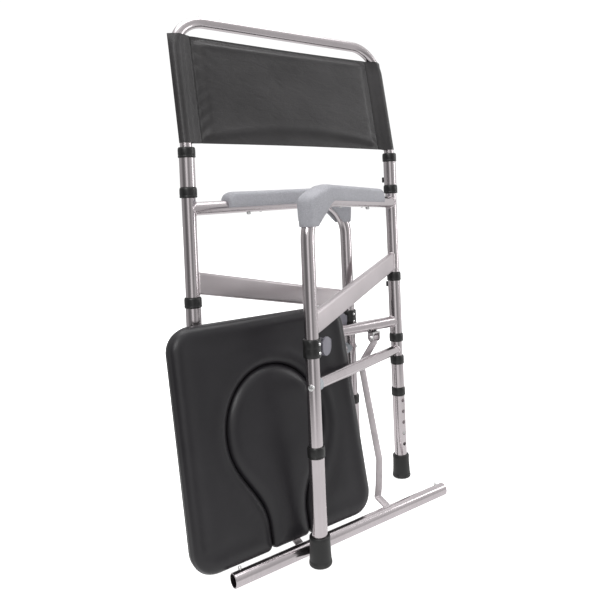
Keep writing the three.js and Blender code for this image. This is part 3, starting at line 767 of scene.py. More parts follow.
def leg_tube(name, node, axis, bore, towards, side, which, body):
    z0, z1 = heights(node)
    leg = Piece().add(sleeve_shape(LEG_R, bore, z0, z1, axis), "tube")
    cut(leg.finish(name, body, [node]), leg_holes(axis, towards, side, which, LEG_R, 3.6 * MM))


def rubber_foot(name, node, axis, body):
    """Tapered ferrule: flared tread with a groove, two ribs and a rolled top lip."""
    low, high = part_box(node)
    foot, top = (high.x - low.x) / 2, high.z
    lip = foot - 2.2 * MM
    profile = [
        (TIP_R, 0), (foot - 4 * MM, 0), (foot - 1.4 * MM, 0.5 * MM), (foot - 0.2 * MM, 1.8 * MM),
        (foot, 3.4 * MM), (foot - 0.2 * MM, 6.5 * MM), (foot - 0.9 * MM, 9 * MM), (foot - 1.3 * MM, 10 * MM),
        (foot - 1.1 * MM, 11 * MM), (lip - 0.2 * MM, top - 10 * MM), (lip, top - 8 * MM),
        (lip + 0.25 * MM, top - 5 * MM), (lip, top - 1.6 * MM), (lip - 0.8 * MM, top - 0.3 * MM),
        (lip - 1.3 * MM, top), (LEG_R + GAP, top - 0.6 * MM), (LEG_R + GAP, FOOT_FLOOR),
        (TIP_R, FOOT_FLOOR),
    ]
    foot_piece = Piece().add(turned(profile, Matrix.Translation(axis), ring=False), "foot")
    foot_piece.finish(name, body, [node], crease=55)


def snap_button(name, node, towards, body):
    """Domed steel button of the leg's snap lock."""
    low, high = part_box(node)
    centre = (low + high) / 2
    half = max((Vector((high.x, high.y, 0)) - Vector((low.x, low.y, 0))).dot(
        Vector((abs(towards.x), abs(towards.y), 0))) / 2 - BUTTON_R * 0.3, 3 * MM)
    dome = [(BUTTON_R * math.sin(a), half - 1.8 * MM + 1.8 * MM * math.cos(a))
            for a in (math.radians(t) for t in (90, 70, 50, 30, 12))]
    profile = [(TIP_R, -half), (BUTTON_R, -half), *dome, (TIP_R, half)]
    shape = turned(profile, pointing(centre, towards), steps=32, ring=False)
    Piece().add(shape, "steel").finish(name, body, [node], crease=50)


# ---- Side frames: drawn with local x from the post to the leg ----
def arm_height(along):
    return ARM_Z + ARM_RISE * along / SIDE_DEPTH


def arm_path(start, end_z):
    """Middle line of the arm tube: gently rising, then bent down into the front leg."""
    corners = [(Vector((start, 0, arm_height(start))), 0),
               (Vector((SIDE_DEPTH, 0, arm_height(SIDE_DEPTH))), ARM_BEND_R),
               (Vector((SIDE_DEPTH, 0, end_z)), 0)]
    return rounded(corners)


def welded_sleeve(z0, z1):
    return sleeve_shape(HINGE_SLEEVE_R, BACK_TUBE_R + GAP, z0, z1, Vector())


def pan_head(radius, height, place):
    profile = [(TIP_R, 0), (radius, 0), (radius, height * 0.35), (radius * 0.86, height * 0.75),
               (radius * 0.5, height * 0.96), (TIP_R, height)]
    return turned(profile, place, steps=32, ring=False)


def cross_recess(radius, height, place):
    arm, wide = radius * 0.62, radius * 0.17
    outline = []
    for quarter in range(4):
        a = quarter * math.pi / 2
        for u, v in ((arm, -wide), (arm, wide), (wide, wide)):
            outline.append((u * math.cos(a) - v * math.sin(a), u * math.sin(a) + v * math.cos(a)))
    return [prism(outline, height * 0.35, height * 1.4, place)]


def arm_tube(side, place, body):
    node = f"arm_tube_{side}"
    path = arm_path(HINGE_SLEEVE_R + MM, heights(node)[0])
    run = (path[1] - path[0]).normalized()
    section = circle(SIDE_TUBE_R, 48)
    over = run.cross(BACK)
    mouth = [path[0] + BACK * a + over * b for a, b in section]
    mouth = coped(mouth, run, Vector(), HINGE_SLEEVE_R)
    points, _ = swept(section, path[1:], BACK)
    rings = [points[i:i + len(section)] for i in range(0, len(points), len(section))]
    tube = Piece().add(moved(skinned([[p - run * MM for p in mouth], mouth, *rings]), place), "tube")
    made = tube.finish(f"arm_and_leg_tube_{side}", body, [node])
    cut(made, leg_holes(LEG[side], -(place.to_3x3() @ ACROSS), side, "front", SIDE_TUBE_R, HOLE_DEPTH))
    collars = [heights(f"post_collar_{n}_{side}") for n in (2, 3)]
    sleeve = Piece().add(moved(welded_sleeve(collars[1][1], collars[0][0]), place), "tube")
    sleeve.add(moved(bead(mouth, 1.5 * MM), place), "weld")
    sleeve.finish(f"arm_sleeve_{side}", body)


def wide_rail(side, place, body):
    low, high = heights(f"wide_rail_{side}")
    rear = Vector((0, 0, high - RAIL_H / 2))
    front = Vector((SIDE_DEPTH, 0, low + RAIL_H / 2))
    run = (front - rear).normalized()
    section = [(BACK * a + run.cross(BACK) * b) for a, b in rounded_box(RAIL_T, RAIL_H, 5.2 * MM, 6)]
    mouth = coped([rear + run * HINGE_SLEEVE_R + p for p in section], run, Vector(), HINGE_SLEEVE_R)
    axis = Vector((SIDE_DEPTH, 0, 0))
    foot = coped([front - run * SIDE_TUBE_R + p for p in section], run, axis, SIDE_TUBE_R + 0.2 * MM)
    near, far = [p + run * 9 * MM for p in mouth], [p - run * 9 * MM for p in foot]
    rail = Piece()
    ends = [p - run * MM for p in mouth], [p + run * MM for p in foot]
    rail.add(skinned([ends[0], mouth, near, far, foot, ends[1]]), "rail")
    rail.add(bead(mouth, 1.6 * MM), "weld")
    rail.add(bead(foot, 1.2 * MM), "weld")
    rail.put(place)
    rail.finish(f"flat_rail_{side}", body, [f"wide_rail_{side}"])


def lower_side_tube(side, place, body):
    node = f"lower_side_tube_{side}"
    front_z = heights(node)[1] - LOWER_TUBE_R
    rear, front = Vector((0, 0, front_z - LOWER_TUBE_DROP)), Vector((SIDE_DEPTH, 0, front_z))
    leg_axis = Vector((SIDE_DEPTH, 0, 0))
    tube = Piece()
    tube_between(tube, "tube", LOWER_TUBE_R, rear, front,
                 (Vector(), HINGE_SLEEVE_R, True), (leg_axis, SIDE_TUBE_R + SADDLE, False))
    tube.add(welded_sleeve(heights(f"post_collar_5_{side}")[1], heights(f"post_collar_4_{side}")[0]), "tube")
    tube.put(place)
    tube.finish(f"lower_tube_{side}", body, [node])
    # The spacer hugs the leg and takes the tube's end.
    run = (front - rear).normalized()
    over = run.cross(BACK)
    loops = []
    start = front - run * (SIDE_TUBE_R + 5 * MM)
    for radius, out in SADDLE_RINGS:
        ring = [start + (BACK * a + over * b) for a, b in circle(radius * MM, 40)]
        loops.append(coped(ring, run, leg_axis, SIDE_TUBE_R + out * MM))
    spacer = Piece().add(skinned(loops), "saddle")
    spacer.put(place)
    spacer.finish(f"leg_saddle_{side}", body, crease=50)


def tube_bolt(side, place, body):
    """Cross-recessed bolt that ties the lower tube through the leg."""
    z = heights(f"lower_side_tube_{side}")[1] - LOWER_TUBE_R
    turn = math.radians(BOLT_TURN if side == "right" else -BOLT_TURN)
    out = Vector((math.cos(turn), math.sin(turn), 0))
    seat = place @ pointing(Vector((SIDE_DEPTH, 0, z)) + out * (SIDE_TUBE_R - 0.8 * MM), out)
    bolt = Piece().add(pan_head(LEG_BOLT_R, LEG_BOLT_H, seat), "steel").finish(f"leg_bolt_{side}", body)
    cut(bolt, cross_recess(LEG_BOLT_R, LEG_BOLT_H, seat))


def arm_screws(side, place, body):
    """Screws under the arm tube that hold the pad."""
    for number, (along, radius, height) in enumerate(ARM_SCREWS):
        s = along * MM
        seat = Vector((s, 0, arm_height(s) - SIDE_TUBE_R + 0.4 * MM))
        shape = pan_head(radius * MM, height * MM, place @ pointing(seat, -UP))
        Piece().add(shape, "steel").finish(f"arm_screw_{number + 1}_{side}", body)


# ---- Front legs: clamp, bar socket, pad ----
def leg_clamp(side, place, body):
    """Black band round the leg with a parting groove and two rivets on the post side."""
    z0, z1 = heights(f"leg_clamp_{side}")
    bore, r = SIDE_TUBE_R + GAP, CLAMP_R
    mid = (z0 + z1) / 2
    profile = [(bore, z0), (r - 1.0 * MM, z0), (r, z0 + 1.2 * MM), (r - 0.1 * MM, mid - 2 * MM),
               (r - 0.5 * MM, mid - 0.9 * MM), (r - 0.5 * MM, mid + 0.9 * MM), (r - 0.1 * MM, mid + 2 * MM),
               (r, z1 - 1.2 * MM), (r - 1.0 * MM, z1), (bore, z1)]
    band = Piece().add(turned(profile, Matrix.Translation(LEG[side])), "collar")
    band.finish(f"clamp_band_{side}", body, [f"leg_clamp_{side}"], crease=50)
    facing = Vector((0, -1, 0)) if side == "left" else Vector((0, 1, 0))
    rivets = Piece()
    for z in (z0 + 8.5 * MM, z1 - 8.5 * MM):
        seat = Vector((SIDE_DEPTH, 0, z)) + facing * (r - 0.5 * MM)
        shape = pan_head(3.1 * MM, 2.0 * MM, place @ pointing(seat, facing))
        rivets.add(shape, "steel")
    rivets.finish(f"clamp_rivets_{side}", body)


def bar_socket(side, place, body):
    """Open trough for the front bar: a thin U wall with one closed end and a thick rolled rim."""
    node = f"bar_socket_{side}"
    low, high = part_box(node)
    inner, outer = BAR_R + SOCKET_PLAY, BAR_R + SOCKET_PLAY + SOCKET_WALL
    axis_z = low.z + outer
    local = place.inverted() @ middle(node)
    rim, half = high.z, SOCKET_WIDTH / 2

    def trough(r, top, rolled):
        points = [(-r, top - rolled), (-r, axis_z)]
        points += [(r * math.cos(a), axis_z + r * math.sin(a))
                   for a in (math.radians(180 + t) for t in range(10, 171, 10))]
        return points + [(r, axis_z), (r, top - rolled)]

    def walls(grow, top):
        outside = trough(outer + grow, top, 0.8 * MM)
        inside = trough(inner, top, 0.8 * MM)[::-1]
        lip = [(outer + grow - 0.8 * MM, top), (inner + 0.8 * MM, top)]
        return outside + lip + inside + [(-x, z) for x, z in lip[::-1]]

    stand = place @ Matrix.Translation((local.x, 0, 0)) @ Matrix.Rotation(math.radians(90), 4, "X")
    loops = []
    for grow, along in ((-0.6, -half), (0, -half + 0.7 * MM), (0, half - 0.7 * MM), (-0.6, half)):
        loops.append([stand @ Vector((x, z, -along)) for x, z in walls(grow * MM, rim - 8 * MM)])
    socket = Piece().add(skinned(loops), "socket")
    end = half if side == "right" else -half
    inwards = -1 if side == "right" else 1
    plate = [(x, z) for x, z in trough(inner + 0.4 * MM, rim - 1.5 * MM, 5 * MM)]
    corner = 12.5 * MM
    arc = [(inner - corner + corner * math.cos(a), rim - 1.5 * MM - corner + corner * math.sin(a))
           for a in (math.radians(t) for t in (0, 22, 45, 68, 90))]
    plate = plate[:-1] + arc + [(-x, z) for x, z in arc[::-1]]
    loops = [[stand @ Vector((x, z, -(end + inwards * t))) for x, z in plate] for t in (0.3 * MM, 3.1 * MM)]
    socket.add(skinned(loops), "socket")
    # Two ribs tie the trough to the clamp.
    for z in (axis_z - 3 * MM, axis_z + 9 * MM):
        rib = rounded_box(SOCKET_WIDTH * 0.7, 4 * MM, 1.2 * MM)
        at = place @ pointing(Vector((local.x + outer - 0.8 * MM, 0, z)), ACROSS)
        socket.add(prism(rib, 0, 2.6 * MM, at), "socket")
    socket.finish(f"bar_cradle_{side}", body, [node], crease=34)


def pad_section(top, low, half, soft, hollow, crown=1.2 * MM):
    """Inverted channel round the arm tube: across, and out from the tube's axis."""
    bore = min(SIDE_TUBE_R + 0.2 * MM, half - 1.4 * MM)
    soft, foot = min(soft, top * 0.8), min(1.6 * MM, (half - bore) * 0.45)
    points = [(-half + foot * 0.3, -low + foot * 0.3), (-half, -low + foot)]
    points += [(-half - 0.25 * MM, (top - soft - low) / 2)]
    for t in range(0, 91, 15):
        a = math.radians(t)
        points.append((-half + soft - soft * math.cos(a), top - soft + soft * math.sin(a)))
    flat = half - soft
    points += [(flat * u, top + crown * (1 - u * u)) for u in (-0.5, 0, 0.5)]
    for t in range(90, -1, -15):
        a = math.radians(t)
        points.append((half - soft + soft * math.cos(a), top - soft + soft * math.sin(a)))
    points += [(half + 0.25 * MM, (top - soft - low) / 2), (half, -low + foot)]
    points += [(half - foot * 0.3, -low + foot * 0.3), (half - foot, -low), (bore + foot * 0.5, -low)]
    rise = hollow * max(0.0, top - PAD_SHELL - bore)
    points.append((bore, -low + foot * 0.5))
    for t in range(0, 181, 15):
        a = math.radians(t)
        points.append((bore * math.cos(a), bore * math.sin(a) + rise * math.sin(a) ** 0.5))
    points += [(-bore, -low + foot * 0.5), (-bore - foot * 0.5, -low), (-half + foot, -low)]
    return points


def ease(value, low, high):
    t = min(max((value - low) / (high - low), 0.0), 1.0)
    return t * t * (3 - 2 * t)


def stepped(a, b, count):
    return [a + (b - a) * (i / count) for i in range(1, count)]


def arm_pad(side, place, body):
    """Foam grip: round at the back end, over the bend, with a thinner skirt that hides the tube."""
    bottom = heights(f"arm_pad_{side}")[0]
    path = arm_path(PAD_START, bottom - 3 * ARM_BEND_R)
    start, run = path[0], (path[1] - path[0]).normalized()
    nose = [start + run * (t * MM) for t in (0.2, 0.8, 1.8, 3.5, 6, 9, 12, 16, 24)]
    last = next(i for i, p in enumerate(path) if p.z < bottom - 12 * MM)
    path = [start, *nose, *stepped(nose[-1], path[1], 14), *path[1:last]]
    reach = [0.0]
    for a, b in zip(path, path[1:]):
        reach.append(reach[-1] + (b - a).length)
    bend, centre = SIDE_DEPTH - ARM_BEND_R, arm_height(SIDE_DEPTH) - ARM_BEND_R

    def section(i):
        along = reach[i]
        curl = max(0.0, PAD_NOSE_R - along)
        tip = PAD_NOSE_R - math.sqrt(max(0.0, PAD_NOSE_R ** 2 - curl ** 2))
        round_bend = math.degrees(math.atan2(max(0.0, path[i].x - bend), path[i].z - centre))
        thin = ease(round_bend, 26, 70)
        low, above = by_angle(PAD_LOW, round_bend), by_angle(PAD_REACH, round_bend)
        half = PAD_HALF_W + (PAD_SKIRT_HALF_W - PAD_HALF_W) * thin
        soft = PAD_EDGE_R + (PAD_SKIRT_EDGE_R - PAD_EDGE_R) * thin
        wave = 0.25 * MM * noise.noise(Vector((along * 22, 3.1 if side == "left" else 8.7, 0)))
        round_in = 3 * MM * (1 - math.sqrt(max(0.0, 1 - max(0.0, 1 - along / (5 * MM)) ** 2)))
        return pad_section(above - tip + wave, low, half - round_in, soft, ease(round_bend, 22, 34))

    points, _ = swept(section, path, BACK)
    size = len(section(0))
    rings = [points[i:i + size] for i in range(0, len(points), size)]
    shape = skinned(level_end(rings, bottom))
    grip = Piece().add(moved(shape, place), "pad")
    grip.finish(f"grip_{side}", body, [f"arm_pad_{side}"], crease=60)


def by_angle(table, angle):
    """A table of degrees and millimetres, read between its rows."""
    for (a0, r0), (a1, r1) in zip(table, table[1:]):
        if angle <= a1:
            t = (angle - a0) / (a1 - a0)
            return (r0 + (r1 - r0) * t) * MM
    return table[-1][1] * MM


def level_end(rings, bottom):
    """Rings cut off level: each point line stops where it reaches the bottom, with a soft last edge."""
    kept = [ring for ring in rings if min(p.z for p in ring) > bottom + 3 * MM]
    last, following = kept[-1], rings[len(kept)]
    target = []
    for a, b in zip(last, following):
        step = (b - a).normalized()
        target.append(a + step * ((a.z - bottom) / max(-step.z, 0.3)))
    centre = sum(target, Vector()) / len(target)
    for share, tuck in ((0.35, 0), (0.7, 0), (0.94, 0), (1, 0.8 * MM)):
        kept.append([a + (b - a) * share + (centre - b).normalized() * tuck for a, b in zip(last, target)])
    return kept


def side_frames():
    for side in SIDES:
        place, body = side_frame(side), f"{side}_frame"
        towards = -(place.to_3x3() @ ACROSS)
        arm_tube(side, place, body)
        wide_rail(side, place, body)
        lower_side_tube(side, place, body)
        tube_bolt(side, place, body)
        arm_screws(side, place, body)
        arm_pad(side, place, body)
        leg_clamp(side, place, body)
        bar_socket(side, place, body)
        collar(f"front_leg_collar_{side}", f"front_collar_{side}", LEG[side], SIDE_TUBE_R + GAP, body)
        leg_tube(f"front_leg_end_{side}", f"front_leg_{side}", LEG[side], SIDE_TUBE_R + GAP,
                 towards, side, "front", body)
        rubber_foot(f"front_rubber_{side}", f"front_foot_{side}", LEG[side], body)
        snap_button(f"front_snap_{side}", f"front_leg_button_{side}", towards, f"front_leg_button_{side}")


def rear_posts():
    for side in SIDES:
        for number in range(1, 7):
            collar(f"post_band_{number}_{side}", f"post_collar_{number}_{side}", POST[side],
                   BACK_TUBE_R + GAP, "rear_frame")
        for number in (1, 2):
            sleeve_stop(side, number)
        leg_tube(f"rear_leg_end_{side}", f"rear_leg_{side}", POST[side], BACK_TUBE_R + GAP,
                 -BACK, side, "rear", "rear_frame")
        rubber_foot(f"rear_rubber_{side}", f"rear_foot_{side}", POST[side], "rear_frame")
        snap_button(f"rear_snap_{side}", f"rear_leg_button_{side}", -BACK, f"rear_leg_button_{side}")


# ---- Front bar and its struts ----
def bar_axis():
    low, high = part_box("front_bar")
    return Vector((low.x, low.y + BAR_R, BAR_R)), high.x - low.x


def front_bar():
    start, length = bar_axis()
    bore, edge = BAR_R - BAR_WALL, 0.5 * MM
    profile = [(bore, 0), (BAR_R - edge, 0), (BAR_R, edge), (BAR_R, length - edge),
               (BAR_R - edge, length), (bore, length)]
    bar = Piece().add(turned(profile, pointing(start, ACROSS)), "tube")
    bar.finish("hollow_bar", "rear_frame", ["front_bar"])
    up = Vector((0, 0.5, 1)).normalized()
    pins = Piece()
    for x in (PIN_FROM_END, length - PIN_FROM_END):
        seat = start + ACROSS * x + up * (BAR_R - BAR_WALL / 2)
        shape = [(TIP_R, 0), (PIN_R, 0), (PIN_R, PIN_H - 1.6 * MM), (PIN_R - 0.6 * MM, PIN_H - 0.4 * MM),
                 (TIP_R, PIN_H)]
        pins.add(turned(shape, pointing(seat, up), steps=28, ring=False), "steel")
    pins.finish("bar_pins", "rear_frame")


def strut(side):
    """Flat bar that hangs from its bracket, cranked inwards and forwards to the bar."""
    pivot = middle(f"pivot_bolt_{side}")
    outwards = -1 if side == "left" else 1
    origin_y = POST[side].y
    axis, _ = bar_axis()

    def line_y(z):
        (y0, z0), (y1, z1) = ((pivot.y - origin_y, pivot.z), STRUT_BEND) if z > STRUT_BEND[1] \
            else (STRUT_BEND, STRUT_LOW)
        return origin_y + y0 + (y1 - y0) * (z - z0) / (z1 - z0)

    stations = [(pivot.z, 0.0), *STRUT_SET_IN]
    points = [Vector((pivot.x - outwards * inwards, line_y(z), z)) for z, inwards in stations]
    points.append(Vector((points[-1].x, axis.y + BAR_R + 0.4 * MM, BAR_R)))
    corners = [(p, 5 * MM if 0 < i < len(points) - 1 else 0) for i, p in enumerate(points)]
    path = rounded(corners, step=1.5 * MM)
    flat = Piece().add(swept(rounded_box(STRUT_W, STRUT_T, 1.1 * MM, 2), path, ACROSS), "strut")
    eye = [(PIVOT_HOLE_R, -STRUT_W / 2), (STRUT_EYE_R - 0.5 * MM, -STRUT_W / 2),
           (STRUT_EYE_R, -STRUT_W / 2 + 0.5 * MM), (STRUT_EYE_R, STRUT_W / 2 - 0.5 * MM),
           (STRUT_EYE_R - 0.5 * MM, STRUT_W / 2), (PIVOT_HOLE_R, STRUT_W / 2)]
    flat.add(turned(eye, pointing(pivot, ACROSS), steps=40), "strut")
    flat.finish(f"flat_strut_{side}", "rear_frame", [f"strut_{side}"], crease=40)


def pivot_bracket(side):
    """Two rounded cheeks under a web, which is fixed to the cross tube."""
    low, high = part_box(f"pivot_bracket_{side}")
    pivot = middle(f"pivot_bolt_{side}")
    wall = BRACKET_WALL
    depth, drop = high.y - low.y + 4 * MM, pivot.z - low.z + 1.5 * MM
    plate = [(depth / 2, high.z), (-depth / 2, high.z), (-depth / 2, pivot.z)]
    plate += [(depth / 2 * math.cos(a), pivot.z + drop * math.sin(a))
              for a in (math.radians(180 + t) for t in range(15, 166, 15))]
    plate.append((depth / 2, pivot.z))
    bracket = Piece()
    for x0 in (low.x, high.x - wall):
        loops = [[Vector((x, pivot.y + y, z)) for y, z in plate] for x in (x0, x0 + wall)]
        bracket.add(skinned(loops), "steel")
    web = rounded_box(high.x - low.x, depth, 1 * MM)
    bracket.add(prism(web, high.z - wall, high.z, Matrix.Translation((pivot.x, pivot.y, 0))), "steel")
    bracket.finish(f"bracket_{side}", "rear_frame", [f"pivot_bracket_{side}"], bevel=0.5 * MM)


def pivot_bolt(side):
    """Domed rivet head on the outer side, a hexagon on the inner side, and the shank between them."""
    low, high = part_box(f"pivot_bolt_{side}")
    pivot = (low + high) / 2
    length = high.x - low.x
    head = BOLT_HEAD_H
    run = pointing(Vector((low.x, pivot.y, pivot.z)), ACROSS)
    back = Matrix.Rotation(math.pi, 4, "X")
    bolt = Piece()
    shank = [(TIP_R, head * 0.5), (PIVOT_SHANK_R, head * 0.5), (PIVOT_SHANK_R, length - head * 0.5),
             (TIP_R, length - head * 0.5)]
    bolt.add(turned(shank, run, steps=32, ring=False), "steel")
    outer_end = run @ Matrix.Translation((0, 0, length - head))
    inner_end = run @ Matrix.Translation((0, 0, head)) @ back
    dome, nut = (outer_end, inner_end) if side == "right" else (inner_end, outer_end)
    bolt.add(pan_head(BOLT_HEAD_R, head, dome), "steel")
    hexagon = [(BOLT_HEAD_R * math.cos(math.radians(60 * i)), BOLT_HEAD_R * math.sin(math.radians(60 * i)))
               for i in range(6)]
    bolt.add(prism(hexagon, 0, head, nut), "steel")
    bolt.finish(f"rivet_{side}", "rear_frame", [f"pivot_bolt_{side}"], crease=45)


# ---- Seat: drawn flat, x across and y from the front edge ----
def seat_place():
    low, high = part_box("seat_plug")
    lean = math.pi / 2 - SEAT_LEAN
    origin = Vector(((low.x + high.x) / 2, low.y + SEAT_T * math.sin(lean), low.z))
    return Matrix.Translation(origin) @ Matrix.Rotation(lean, 4, "X")


def bezier(a, b, c, d, count):
    points = []
    for i in range(1, count + 1):
        t = i / count
        s = 1 - t
        k = (s * s * s, 3 * s * s * t, 3 * s * t * t, t * t * t)
        points.append(tuple(k[0] * a[j] + k[1] * b[j] + k[2] * c[j] + k[3] * d[j] for j in (0, 1)))
    return points


def hole_half(inset):
    """The keyhole's +x side, from the front edge to its rear end."""
    neck, wide, rear = CUT_NECK - inset, CUT_WIDE - inset, CUT_TOP - inset
    turn = CUT_NECK_END
    line = [(neck, turn * i / 10) for i in range(11)]
    middle_y = CUT_WIDE_AT
    lower = bezier((neck, turn), (neck, turn + 65 * MM), (wide, middle_y - 75 * MM), (wide, middle_y), 40)
    upper = bezier((wide, middle_y), (wide, middle_y + 62 * MM), (wide * 0.58, rear), (0, rear), 48)
    return line + lower + upper


def seat_size():
    """Width and depth of the cushion, which lies along its own axes."""
    low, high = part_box("seat_board")
    return high.x - low.x, SEAT_D


def seat_outline(inset=0.0):
    width, depth = seat_size()
    half, r = width / 2, SEAT_CORNER_R
    points = []
    corners = (half - r, r, -90), (half - r, depth - r, 0), (r - half, depth - r, 90), (r - half, r, 180)
    for cx, cy, start in corners:
        for t in range(0, 91, 6):
            a = math.radians(start + t)
            points.append((cx + (r - inset) * math.cos(a), cy + (r - inset) * math.sin(a)))
    c = MOUTH_R
    neck = CUT_NECK + inset
    corner = [(neck + c - c * math.sin(a), c - c * math.cos(a) + inset)
              for a in (math.radians(t) for t in range(0, 91, 10))]
    hole = corner + [(x, y) for x, y in hole_half(-inset) if y > c + inset + 0.1 * MM]
    left = [(-x, y) for x, y in hole]
    return points + left + hole[::-1][1:]


def evenly(outline, step):
    """The closed outline with points at an even step, keeping its corners."""
    points = []
    for a, b in zip(outline, outline[1:] + outline[:1]):
        gap = math.hypot(b[0] - a[0], b[1] - a[1])
        if gap < 1e-7:
            continue
        count = max(1, round(gap / step))
        points += [(a[0] + (b[0] - a[0]) * i / count, a[1] + (b[1] - a[1]) * i / count) for i in range(count)]
    return points


def ways_out(edge):
    """At each point of a closed edge, the direction that leads out of it; and which way round it runs."""
    twice = sum(a[0] * b[1] - b[0] * a[1] for a, b in zip(edge, edge[1:] + edge[:1]))
    hand = 1 if twice > 0 else -1
    out = []
    for i in range(len(edge)):
        a, b = edge[i - 1], edge[(i + 1) % len(edge)]
        run = Vector((b[0] - a[0], b[1] - a[1])).normalized()
        out.append((hand * run.y, -hand * run.x))
    return out, hand


def skin_field(edge, out, from_edge):
    """Flat points of a skin: its edge, rings set in from it, and staggered rows in the middle."""
    flat = list(edge)
    for inset in SKIN_RINGS:
        for (x, y), (out_x, out_y) in zip(edge, out):
            point = (x - out_x * inset * MM, y - out_y * inset * MM)
            if from_edge(*point) > (inset - SKIN_SLACK) * MM:
                flat.append(point)
    xs, ys = [p[0] for p in edge], [p[1] for p in edge]
    inner = SKIN_RINGS[-1] * MM + SKIN_SPACING * 0.5
    for i in range(int((max(xs) - min(xs)) / SKIN_SPACING) + 1):
        for j in range(int((max(ys) - min(ys)) / SKIN_SPACING) + 1):
            x, y = min(xs) + i * SKIN_SPACING, min(ys) + (j + 0.5 * (i % 2)) * SKIN_SPACING
            if from_edge(x, y) > inner:
                flat.append((x, y))
    return [Vector(point) for point in flat]


def skin(outline, height, base, place, wall_shape):
    """Closed soft body over an outline: its top height depends on the distance in from the edge."""
    edge = evenly(outline, SKIN_EDGE_STEP)
    count = len(edge)
    tree = KDTree(count)
    for i, (x, y) in enumerate(edge):
        tree.insert((x, y, 0), i)
    tree.balance()

    def from_edge(x, y):
        return tree.find((x, y, 0))[2]

    out, hand = ways_out(edge)
    verts, _, faces, sources = delaunay_2d_cdt(
        skin_field(edge, out, from_edge), [], [list(range(count))], 1, 1e-7)[:4]
    rim = [None] * count
    for k, origins in enumerate(sources):
        for origin in origins:
            if origin < count:
                rim[origin] = k
    points = [Vector((v.x, v.y, height(v.x, v.y, from_edge(v.x, v.y)))) for v in verts]
    upper_count = len(points)
    shown = [tuple(f) if hand_of(f, verts) > 0 else tuple(f)[::-1] for f in faces]
    faces = list(shown)
    rings = [rim]
    top = points[rim[0]].z
    for share, bulge in wall_shape:
        rings.append(list(range(len(points), len(points) + count)))
        z = top + (base - top) * share
        points += [Vector((p[0] + o[0] * bulge, p[1] + o[1] * bulge, z)) for p, o in zip(edge, out)]
    for upper, lower in zip(rings, rings[1:]):
        for i in range(count):
            j = (i + 1) % count
            quad = (upper[i], lower[i], lower[j], upper[j])
            faces.append(quad if hand > 0 else quad[::-1])
    under = dict(zip(rim, rings[-1]))
    for k in range(upper_count):
        if k not in under:
            under[k] = len(points)
            points.append(Vector((points[k].x, points[k].y, base)))
    faces += [tuple(under[k] for k in f[::-1]) for f in shown]
    return [place @ p for p in points], faces


def hand_of(face, verts):
    a, b, c = (verts[k] for k in face[:3])
    return (b.x - a.x) * (c.y - a.y) - (c.x - a.x) * (b.y - a.y)


def rolled(d, top, roll_w, roll_h):
    """Height at a distance in from the edge: a quarter ellipse across the roll, then level at the top."""
    if d < roll_w:
        t = 1 - d / roll_w
        return top - roll_h + roll_h * math.sqrt(max(0.0, 1 - t * t))
    return top


def cushion_height(x, y, d):
    """The stuffed rim stands proud of a shallow valley, and the middle is soft foam."""
    in_hole_side = abs(x) < CUT_WIDE + 26 * MM and y < CUT_TOP + 22 * MM
    roll = CUSHION_ROLL_IN if in_hole_side else CUSHION_ROLL
    top = rolled(d, SEAT_T - 0.6 * MM, roll, CUSHION_ROLL_H)
    valley = CUSHION_VALLEY * ease(d, 17 * MM, 34 * MM) * (1 - 0.55 * ease(d, 40 * MM, 58 * MM))
    slow = 0.8 * MM * noise.noise(Vector((x * 11, y * 11, 2.3)))
    near_rim = ease(d, 3 * MM, 10 * MM) * (1 - ease(d, 22 * MM, 40 * MM))
    pucker = 0.35 * MM * noise.noise(Vector((x * 95, y * 95, 7.7))) * near_rim
    return min(top - valley + slow * ease(d, 5 * MM, 20 * MM) + pucker, SEAT_T)


def plug_height(x, y, d):
    top = rolled(d, SEAT_T - 2.4 * MM, PLUG_ROLL, PLUG_ROLL_H)
    crown = 2.2 * MM * ease(d, 6 * MM, 62 * MM)
    slow = 0.8 * MM * noise.noise(Vector((x * 12, y * 12, 5.1)))
    return min(top + crown + slow * ease(d, 4 * MM, 16 * MM), SEAT_T)


def seat_cushion(place):
    wall = [(0.25, 1.2 * MM), (0.5, 1.7 * MM), (0.75, 1.4 * MM), (0.88, 0.2 * MM), (1.0, -3.0 * MM)]
    shape = skin(seat_outline(), cushion_height, BOARD_T + GAP, place, wall)
    made = Piece().add(shape, "vinyl")
    made.finish("cushion_skin", "seat", ["seat_cushion"], crease=70, outwards=False)


def seat_plug(place):
    right = hole_half(PLUG_GAP)
    corner = MOUTH_R
    mouth = [(x, max(y, 0.0)) for x, y in right if y > corner]
    x0 = CUT_NECK - PLUG_GAP
    bend = [(x0 - corner + corner * math.cos(a), corner - corner * math.sin(a))
            for a in (math.radians(t) for t in range(90, -1, -9))]
    side = bend + mouth
    outline = side + [(-x, y) for x, y in side[::-1] if x > 1e-6]
    wall = [(0.2, 0.0), (0.6, -0.2 * MM), (1.0, -1.2 * MM)]
    shape = skin(outline, plug_height, 0.0, place, wall)
    made = Piece().add(shape, "vinyl")
    made.finish("plug_skin", "seat", ["seat_plug"], crease=70, outwards=False)


